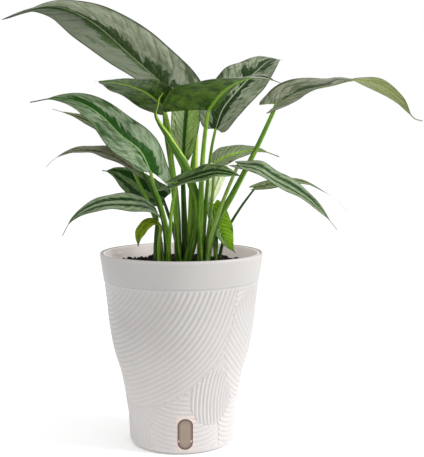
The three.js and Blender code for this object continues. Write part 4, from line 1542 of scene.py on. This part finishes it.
LEAVES = (
    LeafShape(
        "leaf_top_left", "middle", Look.BROAD_SILVER,
        stalk=((-3, 8, 190), (-5, 9, 240), (-10, 11, 290), (-16, 13, 330)),
        midrib=(
            (-17, 22, 372), (-52, 20, 403), (-93, 15, 438), (-126, 12, 452), (-153, 8, 449),
            (-182, 4, 438),
        ),
        stalk_radius=(5.2, 2.2), half=(34, 36), up=((0.3, -0.8, 0.6), (-0.2, -0.8, -0.5)),
        fold=(52, 27), lobe=(0.205, 0.135), drip=0.18, belly=0.14, taper=2.4, wave=1, thread=0.1,
    ),
    LeafShape(
        "leaf_front_left", "middle", Look.DEEP_BACKED,
        stalk=((-3, 4, 190), (-5.5, 1, 240), (-9.5, -0.5, 290), (-12.5, -3, 328)),
        midrib=((-19, -9, 352.5), (-36, -27, 364), (-52, -48, 369), (-66, -66, 371), (-80, -84, 370)),
        stalk_radius=(4.3, 1.9), half=(29, 27), up=((0, 0.4, 0.9), (0.2, 0.3, 0.9)), fold=(3, 3),
        lobe=(0.2, 0.12), drip=0.1, belly=0.38, taper=2.4, skin=StalkLook.BRIGHT,
    ),
    LeafShape(
        "leaf_front_right", "right", Look.DEEP_BACKED,
        stalk=((19.5, -5, 190), (20, -7, 235), (21.5, -7, 285), (25, -7, 325)),
        midrib=(
            (28, -8, 346), (41, -35, 362), (53, -64, 370), (65, -91, 373), (76, -110, 372),
            (89, -124, 366),
        ),
        stalk_radius=(4.2, 2), half=(52, 13), up=((-0.3, 0.7, 0.6), (-0.2, -0.05, 0.95)), fold=(6, 20),
        lobe=(0.12, 0.05), drip=0.06, belly=0.2, neck=0.8, taper=2, skin=StalkLook.BRIGHT,
    ),
    LeafShape(
        "leaf_top_right", "right", Look.BLOTCHED,
        stalk=((22, 3, 190), (24.5, 5, 235), (28, 7, 275), (32, 8, 308)),
        midrib=(
            (36, 8, 327), (44, 15, 348), (63, 24, 371), (80, 36, 388), (97, 54, 402), (113, 74, 404),
        ),
        stalk_radius=(3.1, 1.5), half=(23.5, 29), up=((-0.3, -0.9, 0.3), (-0.4, -0.7, 0.5)),
        fold=(5, 7), lobe=(0.02, 0.02), drip=0.06, belly=0.46, neck=0.34, wave=1,
    ),
    LeafShape(
        "leaf_far_right", "right", Look.GREY_SILVER,
        stalk=((26.5, -1, 190), (35, 2, 225), (55, 1, 262), (77, -3, 305), (92, -6, 338)),
        midrib=(
            (98, -6, 352), (122, -2, 365), (154, -9, 372), (178, -10, 377), (205, -7, 372),
            (226, -9, 357), (239, -12, 338), (248, -12, 335),
        ),
        stalk_radius=(4.3, 2.2), half=(14.5, 28), up=((-0.05, -0.55, 0.8), (0.6, 0.5, 0.6)),
        fold=(10, 1), lobe=(0.09, 0.08), drip=0.12, belly=0.34, taper=1.9, wave=1,
    ),
    LeafShape(
        "leaf_left", "left", Look.VIVID,
        stalk=((-13.5, -9.5, 190), (-15, -19, 222), (-21, -21.5, 250), (-28, -20, 270)),
        midrib=(
            (-31, -18, 283), (-41, -26, 304), (-60, -33, 320), (-81, -38, 341), (-102, -42, 353),
            (-123, -43, 356), (-147, -46, 352),
        ),
        stalk_radius=(3.5, 1.7), half=(23.5, 24), up=((0.4, -0.8, 0.5), (0, -0.8, 0.6)), fold=(12, 8),
        lobe=(0.19, -0.07), drip=0.15, belly=0.25, neck=0.52, taper=1.5, wave=1,
    ),
    LeafShape(
        "leaf_left_behind", "left", Look.OLIVE,
        stalk=((-16, 3, 190), (-20, 8, 235), (-34, 12, 270)),
        midrib=((-54, 17, 302), (-69, 11, 314), (-86, 4, 329), (-109, -3, 340), (-131, -8, 347)),
        stalk_radius=(2.9, 1.6), half=(14, 14), up=((0.3, -0.6, 0.7), (0, -0.4, 0.9)), fold=(8, 10),
        lobe=(0.1, 0.1), drip=0.14, belly=0.3, skin=StalkLook.DARK,
    ),
    LeafShape(
        "leaf_left_middle", "left", Look.DUSKY,
        stalk=((-20, 0, 190), (-24, 3, 222), (-34, 3, 250), (-43, -1, 270)),
        midrib=(
            (-50, -5, 285), (-71, -10, 299), (-91, -11, 304), (-114, -14, 303), (-129, -16, 296),
            (-137, -17, 288),
        ),
        stalk_radius=(2.7, 1.6), half=(19, 19), up=((-0.1, -0.3, 0.9), (-0.2, -0.2, 0.9)), fold=(7, 9),
        lobe=(0.1, 0.1), drip=0.2, belly=0.29,
    ),
    LeafShape(
        "leaf_left_dark", "middle", Look.SHADED,
        stalk=((-2, 11, 190), (-8, 20, 220), (-15, 27, 240)),
        midrib=((-19, 28, 252), (-38, 33, 257), (-56, 35, 271), (-71, 36, 280.5), (-85, 38, 283)),
        stalk_radius=(3.8, 1.6), half=(22, 22), up=((0.3, -0.7, 0.6), (0.1, -0.8, 0.6)), fold=(13, 20),
        lobe=(0.06, 0.06), drip=0.08, belly=0.3, skin=StalkLook.DARK,
    ),
    LeafShape(
        "leaf_low_left", "left", Look.STRIPED,
        stalk=((-26, -4, 190), (-26, -6, 215), (-25, -10, 233)),
        midrib=(
            (-26, -14, 242), (-37, -24, 250), (-60, -33, 253), (-79, -38, 252), (-97, -40, 245),
            (-110, -43, 235), (-118, -44, 221),
        ),
        stalk_radius=(3.8, 1.7), half=(17, 17), up=((0.1, -0.5, 0.9), (-0.3, -0.4, 0.9)), fold=(5, 3),
        lobe=(0.03, 0.03), drip=0.15, belly=0.3, skin=StalkLook.DARK,
    ),
    LeafShape(
        "leaf_curled", "left", Look.YOUNG,
        stalk=((-23, -9, 190), (-23, -13, 212), (-21, -16, 226)),
        midrib=((-24, -18, 232), (-32, -21, 232), (-39, -24, 226), (-43, -26, 218), (-44, -27, 208)),
        stalk_radius=(2.6, 1.5), half=(7, 7), up=((-0.2, -0.6, 0.8), (-0.6, -0.7, 0.1)), fold=(10, 5),
        lobe=(0.04, 0.04), drip=0.06, belly=0.47, wave=0.4, skin=StalkLook.OLIVE,
    ),
    LeafShape(
        "leaf_front", "left", Look.NARROW,
        stalk=((-14.5, -12, 190), (-12, -23, 218), (-9, -29, 250)),
        midrib=((-4, -34, 273), (14, -43, 279), (34, -48, 284), (46, -50, 283), (60, -51, 280)),
        stalk_radius=(2.8, 1.5), half=(14, 14), up=((0.1, -0.5, 0.8), (0, -0.6, 0.8)), fold=(11, 10),
        lobe=(0.33, 0.24), drip=0.04, belly=0.37, wave=0.6, skin=StalkLook.BRIGHT,
    ),
    LeafShape(
        "leaf_right_folded", "right", Look.LIME_BACKED,
        stalk=((24, 3, 190), (29, 3.5, 225), (33, 6, 262)),
        midrib=(
            (34.5, 9, 291), (43, 10, 295.5), (55.5, 13, 300.5), (68, 17, 303.5), (79, 20, 305),
            (90, 21, 303), (104, 22, 298),
        ),
        stalk_radius=(2.6, 1.4), half=(8, 13), up=((0, -0.8, 0.5), (0, -0.7, 0.6)), fold=(5, 5),
        lobe=(0.03, 0.03), drip=0.2, belly=0.2, neck=0.2, taper=1.3, wave=0.6, skin=StalkLook.OLIVE,
    ),
    LeafShape(
        "leaf_right_drooping", "right", Look.STRIPED,
        stalk=((26, -6, 190), (31, -9, 218), (41, -13, 248), (52, -16, 276)),
        midrib=(
            (58, -18, 290), (77, -27, 287), (95, -30, 276), (112, -32, 267), (128, -36, 256),
            (143, -38, 242), (156, -41, 226),
        ),
        stalk_radius=(2.9, 1.8), half=(14.5, 17), up=((0.3, -0.4, 0.8), (0.5, -0.5, 0.7)), fold=(4, 6),
        lobe=(0.06, 0.06), drip=0.12, belly=0.3, skin=StalkLook.OLIVE,
    ),
    LeafShape(
        "leaf_right_low", "edge", Look.OLIVE,
        stalk=((40, 11, 190), (48, 24.5, 217), (63, 19, 244)),
        midrib=(
            (78, 8, 266), (95, 12, 269), (116, 16, 272.5), (134, 18, 270), (152, 20, 261),
            (167, 21, 251), (178, 22, 238),
        ),
        stalk_radius=(2.3, 1.2), half=(10, 10), up=((-0.1, -0.4, 0.9), (0.3, 0, 0.95)), fold=(3, 3),
        lobe=(0.06, 0.06), drip=0.3, belly=0.24, neck=0.25, wave=0.5, skin=StalkLook.DARK,
    ),
    LeafShape(
        "leaf_right_hanging", "edge", Look.BRIGHT_BACKED,
        stalk=((36, 7, 190), (37, 11.5, 212), (35, 17.5, 236)),
        midrib=((33, 20, 247), (37, 19.5, 236), (41.5, 16.5, 221), (49, 10, 205), (57, 5, 197)),
        stalk_radius=(2.6, 1.5), half=(13, 14), up=((0.3, -0.7, 0.6), (0.8, -0.6, 0.2)), fold=(6, 26),
        lobe=(0.06, 0.06), drip=0.06, belly=0.45, wave=0.4,
    ),
    LeafShape(
        "leaf_centre_back", "middle", Look.HALF_PALE,
        stalk=((4, 12, 190), (3, 19, 240), (2, 21, 275)),
        midrib=((2, 22, 292), (3, 24, 315), (5, 26, 340), (7, 27, 362), (10, 28, 381)),
        stalk_radius=(4.8, 2.2), half=(16, 16), up=((0, -1, 0.1), (0, -1, 0.1)), fold=(15, 15),
        lobe=(0, 0), drip=0.1, belly=0.6, neck=0.08, wave=0.6, skin=StalkLook.DARK,
    ),
    LeafShape(
        "leaf_pale_back", "edge", Look.PALE,
        stalk=((36, 12, 190), (34, 20, 215), (31, 26, 235)),
        midrib=((30, 28, 247), (36, 30, 262), (42, 32, 277), (47, 35, 292), (52, 38, 303)),
        stalk_radius=(2.2, 1.3), half=(9, 6), up=((-0.1, 0.95, 0.2), (-0.1, 0.95, 0.2)), fold=(8, 8),
        lobe=(0, 0), drip=0.1, belly=0.62, neck=0.15, wave=0.4,
    ),
)


def root_of(shoot: str, start: Point) -> Point:
    """Where a stalk starts, half way from its first point to the middle of its crown."""
    crown = CROWNS[shoot]
    return ((start[0] + crown.x) / 2, (start[1] + crown.y) / 2, SOIL_TOP - CROWN_DEPTH / 2)


@dataclass
class Blade:
    """One leaf blade as a thin closed shell with a rib below, side veins and soft waves."""

    shape: LeafShape
    rows: int = 120
    columns: int = 18
    thickness: float = 0.9
    margin: float = 0.3
    tip: float = 0.7
    quilt: float = 0.28

    def share(self, u: Array) -> Array:
        """Share of the half width at each share of the length.

        A quarter ellipse swells from the neck to the belly, then a power curve narrows to the drip
        tip, joined by its root of squares to a thread that stays to the very end.

        Args:
            u: Shares of the length.

        Returns:
            Shares of the half width.
        """
        leaf = self.shape
        swell = leaf.neck + (1 - leaf.neck) * np.sqrt(1 - (1 - np.minimum(u / leaf.belly, 1)) ** 2)
        t = np.clip((u - leaf.belly) / (1 - leaf.belly), 0, 1)
        narrow = np.clip(1 - (t / (1 - leaf.drip)) ** leaf.taper, 0, 1)
        thread = leaf.thread * np.sqrt(np.maximum(1 - t**4, 0))
        return np.where(u < leaf.belly, swell, np.hypot(narrow, thread))

    def middle(self, u: Array, v: Array) -> Array:
        """Middle surface of the blade.

        A row starts at the midrib, moved back by lobe |v|^1.4 (1 - 2u)^2, and runs out to each side
        by half width times share times |v|, turned up by the fold, with a wave that grows with v^2.

        Args:
            u: Share of the length, from neck to tip.
            v: Place across, from -1 at the left margin to 1 at the right.

        Returns:
            The points.
        """
        leaf = self.shape
        rib = SmoothCurve(leaf.midrib)
        reach, right = np.abs(v), v > 0
        lobe = np.where(right, leaf.lobe[0], leaf.lobe[1])
        s = u - lobe * reach**1.4 * np.clip(1 - 2 * u, 0, 1) ** 2
        slope = rib.along(s)
        point = rib.at(s) + slope * (np.minimum(s, 0) * rib.length)[..., None]
        up = blend(np.array(leaf.up[0], float), np.array(leaf.up[1], float), ease(s, 0, 1)[..., None])
        side = unit(np.cross(slope, up))
        normal = np.cross(side, slope)
        share = self.share(u)
        half = np.where(right, leaf.half[0], leaf.half[1])
        width = np.maximum(half * share, self.tip) * reach
        fold = np.radians(np.where(right, leaf.fold[0], leaf.fold[1]))
        wave = leaf.wave * v**2 * np.sin(2 * math.pi * (3.2 * u + 0.25 * np.sign(v))) * share
        point = point + side * (np.sign(v) * width * np.cos(fold))[..., None]
        return point + normal * (width * np.sin(fold) + wave)[..., None]

    def build(self) -> bpy.types.Object:
        """The blade: two sheets about the middle surface that meet at the margins.

        The sheets lie half a thickness from the middle surface. Both follow a quilt of side veins,
        and the lower one carries a round rib that thins from the stalk to the tip.

        Returns:
            The object.
        """
        leaf = self.shape
        spread = np.linspace(-1, 1, 2 * self.columns + 1)
        u, v = np.meshgrid(
            np.linspace(0, 1, self.rows), 0.62 * spread + 0.38 * spread**3, indexing="ij",
        )
        middle = self.middle(u, v)
        normal = unit(np.cross(np.gradient(middle, axis=1), np.gradient(middle, axis=0)))
        reach = np.abs(v)
        width = np.maximum(max(leaf.half) * self.share(u), self.tip)
        body = self.margin / 2 + (self.thickness - self.margin) / 2 * (1 - reach**4)
        thin = np.minimum(1, width / 6)
        flow = (u - reach**1.15 * VEIN_SWEEP) * SIDE_VEINS
        quilt = self.quilt * thin * np.sin(math.pi * np.abs(flow - np.round(flow)))
        quilt = quilt * ease(reach, 0.02, 0.3) * ease(reach, 1.0, 0.8)
        rib_radius = blend(leaf.stalk_radius[1], 0.4, u**0.6)
        rib = np.sqrt(np.maximum(1 - (reach * width / (rib_radius * 1.25)) ** 2, 0)) * rib_radius
        groove = 0.35 * thin * np.exp(-((reach * width / 1.6) ** 2))
        upper = middle + normal * (body * thin + quilt - groove)[..., None]
        lower = middle - normal * (body * thin - quilt + rib * thin)[..., None]
        over = np.stack([u, (v + 1) / 2], axis=-1)
        ring = np.concatenate([upper, lower[:, ::-1]], axis=1)
        uv = np.concatenate([over, over[:, ::-1], over[:, :1]], axis=1)
        count = v.shape[1]
        slot = np.concatenate([np.zeros(count - 1), [0], np.ones(count - 1), [0]])
        shell = Shell()
        own = shell.grid(ring, uv, closed=True, slot=slot)
        for row in (0, -1):
            one, other = own[row, :count], own[row, count:][::-1]
            if row == 0:
                one, other = one[::-1], other[::-1]
            shell.rungs(one, other, 1, over[row, count // 2])
        made = shell.piece(leaf.name.replace("leaf", "blade"), leaf.look.value, 60.0)
        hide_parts(leaf.name)
        return made


@dataclass
class Stalk:
    """One leaf stalk: a round bar that is grooved above and widens to a sheath at its foot."""

    shape: LeafShape
    sides: int = 20
    rings: int = 64
    run_on: float = 1.2

    def build(self) -> bpy.types.Object:
        """The stalk from inside its crown to a little way through the blade.

        The radius runs straight from foot to top. The section is a circle with a notch of
        exp(-a^2) on its upper side and three faint ridges.

        Returns:
            The object.
        """
        leaf = self.shape
        neck, last = np.array(leaf.midrib[0], float), np.array(leaf.stalk[-1], float)
        end = neck + unit(neck - last) * self.run_on
        curve = SmoothCurve([root_of(leaf.shoot, leaf.stalk[0]), *leaf.stalk, neck, end])
        share = np.linspace(0, 1, self.rings)
        turn = turns(self.sides)[None]
        bent = (turn - math.pi / 2 + math.pi) % (2 * math.pi) - math.pi
        notch = 0.22 * np.exp(-((bent / 0.5) ** 2)) * ease(share, 0.3, 0.7)[:, None]
        sheath = 0.14 * (1 - ease(share, 0.2, 0.5))[:, None] * np.cos(2 * turn)
        ridges = 0.03 * np.cos(7 * turn)
        radius = blend(*leaf.stalk_radius, share)[:, None] * (1 - notch + sheath + ridges)
        rings = tube(curve, share, radius)
        made = solid(leaf.name.replace("leaf", "stalk"), rings, leaf.skin.value, 80.0, unrolled(rings))
        return made


@dataclass
class Spear:
    """A young leaf that is still rolled up: a swollen bar with the edge of the roll round it."""

    name: str
    shoot: str
    line: tuple[Point, ...]
    radius: tuple[float, ...]
    look: StalkFinish
    sides: int = 24
    rings: int = 80

    def build(self) -> bpy.types.Object:
        """The rolled leaf.

        The radii are spaced evenly and run straight between. The section is a spiral: the radius
        falls by a fixed share over one turn, which leaves a step that winds up the roll.

        Returns:
            The object.
        """
        curve = SmoothCurve([root_of(self.shoot, self.line[0]), *self.line])
        share = np.linspace(0, 1, self.rings)
        size = np.interp(share, np.linspace(0, 1, len(self.radius)), self.radius)[:, None]
        turn = np.linspace(0, 1, self.sides, endpoint=False)[None]
        wound = (turn + ROLL_TURNS * share[:, None] + ROLL_START) % 1.0
        radius = size * (1 - 0.2 * wound * ease(share, 0.15, 0.4)[:, None])
        rings = tube(curve, share, radius)
        made = solid(self.name, rings, self.look, 80.0, unrolled(rings))
        return made


SPEARS = (
    Spear(
        "spear_left", "middle",
        (
            (6.6, 3.6, 190), (13, 2.2, 215), (17.5, 1, 239), (16.5, 0, 253), (11.6, -1, 267),
            (7, -2, 281), (0.4, -4, 295), (-8.4, -7, 310), (-16, -10, 323), (-22.5, -15, 333),
            (-26, -22, 342), (-23.5, -29, 350), (-21.5, -36, 357.5), (-18, -41, 361.5),
        ),
        (5.2, 5, 4.7, 4.8, 5.2, 3.8, 1.7, 0.7),
        StalkFinish("spear_green", "30580c", "548214", "68901e", "a8c64e", rolled=True),
    ),
    Spear(
        "spear_right", "middle", ((8, 8, 190), (10, 7, 240), (13, 6, 288), (17, 7, 322)),
        (3.2, 3.2, 3.4, 3.8, 4.2, 0.8),
        StalkFinish("spear_yellow", "56861e", "84a82e", "868c42", "b2ca58", rolled=True),
    ),
)


@dataclass
class Plant:
    """Four shoots with their stalks, blades and rolled young leaves."""

    def build(self) -> list[bpy.types.Object]:
        """Every piece of the plant.

        Returns:
            The pieces.
        """
        made = [crown.build() for crown in CROWNS.values()]
        made += [spear.build() for spear in SPEARS]
        for shape in LEAVES:
            made += [Stalk(shape).build(), Blade(shape).build()]
        return made


@dataclass
class Planter:
    """Pot, window, liner and filling."""

    def build(self) -> list[bpy.types.Object]:
        """Every piece of the planter.

        Returns:
            The pieces.
        """
        liner, soil = InnerPot(), Soil()
        return [
            OuterPot().build(), Window().build(), liner.build(), liner.catch(), soil.build(),
            soil.scatter("soil_crumbs", 21, soil.crumbs, (0.7, 2.9), SoilFinish("crumb")),
            soil.scatter("perlite_grains", 22, soil.grains, (0.7, 1.7), PerliteFinish()),
        ]


# ---------- the studio ----------
@dataclass
class Studio:
    """Pale floor, soft lamps and the camera at the photograph's angle."""

    camera_place: Point = (0.0, -0.9389, 0.3131)
    lens: float = 71.15
    yaw: float = 1.944
    pitch: float = 5.439
    floor_radius: float = 8.0
    floor_height: float = -0.0005
    floor_sides: int = 64

    def floor(self) -> None:
        """A wide plain floor with a faint tone."""
        shader = Shader("pale_floor", Roughness=0.9, Specular_IOR_Level=0.1, Emission_Strength=0.12)
        tone = shader.noise(shader.solid_place(), 3.0)
        shader.feed(Base_Color=shader.mix(tone, "fcfcfc", "f9f9f9"), Emission_Color="ffffff")
        mesh = bpy.data.meshes.new("floor")
        radius, turn = self.floor_radius, turns(self.floor_sides)
        height = np.full(self.floor_sides, self.floor_height)
        rim = np.stack([radius * np.cos(turn), radius * np.sin(turn), height], axis=-1)
        mesh.from_pydata(rim.tolist(), [], [list(range(self.floor_sides))])
        mesh.materials.append(shader.material)
        made = shown("floor", mesh)

    def lamp(self, name: str, place: Point, target: Point, size: float, power: float) -> None:
        """A square soft lamp that looks at a target.

        Args:
            name: The lamp's name.
            place: Where it stands.
            target: What it looks at.
            size: Side of its square.
            power: Its power in watts.
        """
        light = bpy.data.lights.new(name, "AREA")
        light.size, light.energy = size, power
        aim = (Vector(target) - Vector(place)).to_track_quat("-Z", "Y")
        shown(name, light).matrix_world = Matrix.Translation(place) @ aim.to_matrix().to_4x4()

    def camera(self) -> None:
        """The camera, turned right by the yaw and down by the pitch."""
        data = bpy.data.cameras.new("camera")
        data.lens, data.sensor_width, data.sensor_fit = self.lens, 36.0, "AUTO"
        data.clip_start, data.clip_end = 0.01, 50.0
        made = shown("camera", data)
        yaw, pitch = math.radians(self.yaw), math.radians(self.pitch)
        flat = math.cos(pitch)
        way = Vector((math.sin(yaw) * flat, math.cos(yaw) * flat, -math.sin(pitch)))
        aim = way.to_track_quat("-Z", "Y").to_matrix().to_4x4()
        made.matrix_world = Matrix.Translation(self.camera_place) @ aim
        bpy.context.scene.camera = made

    def build(self) -> None:
        """Floor, lamps, sky and camera."""
        scene = bpy.context.scene
        scene.view_settings.view_transform = "Standard"
        world = bpy.data.worlds.new("studio")
        world.use_nodes = True
        sky = world.node_tree.nodes["Background"]
        sky.inputs["Color"].default_value = (1.0, 1.0, 1.0, 1.0)
        sky.inputs["Strength"].default_value = 1.0
        scene.world = world
        self.floor()
        self.lamp("key", (1.5, -0.45, 1.0), (0.0, 0.0, 0.2), 0.5, 24.0)
        self.camera()


def main() -> None:
    """Builds the model and the studio, and logs the face count of each piece."""
    logging.basicConfig(level=logging.INFO, format="%(name)s: %(message)s")
    for piece in (*Planter().build(), *Plant().build()):
        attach(piece, BODY)
        LOG.info("%s: %d faces", piece.name, len(piece.data.polygons))
    Studio().build()


if __name__ == "__main__":
    main()
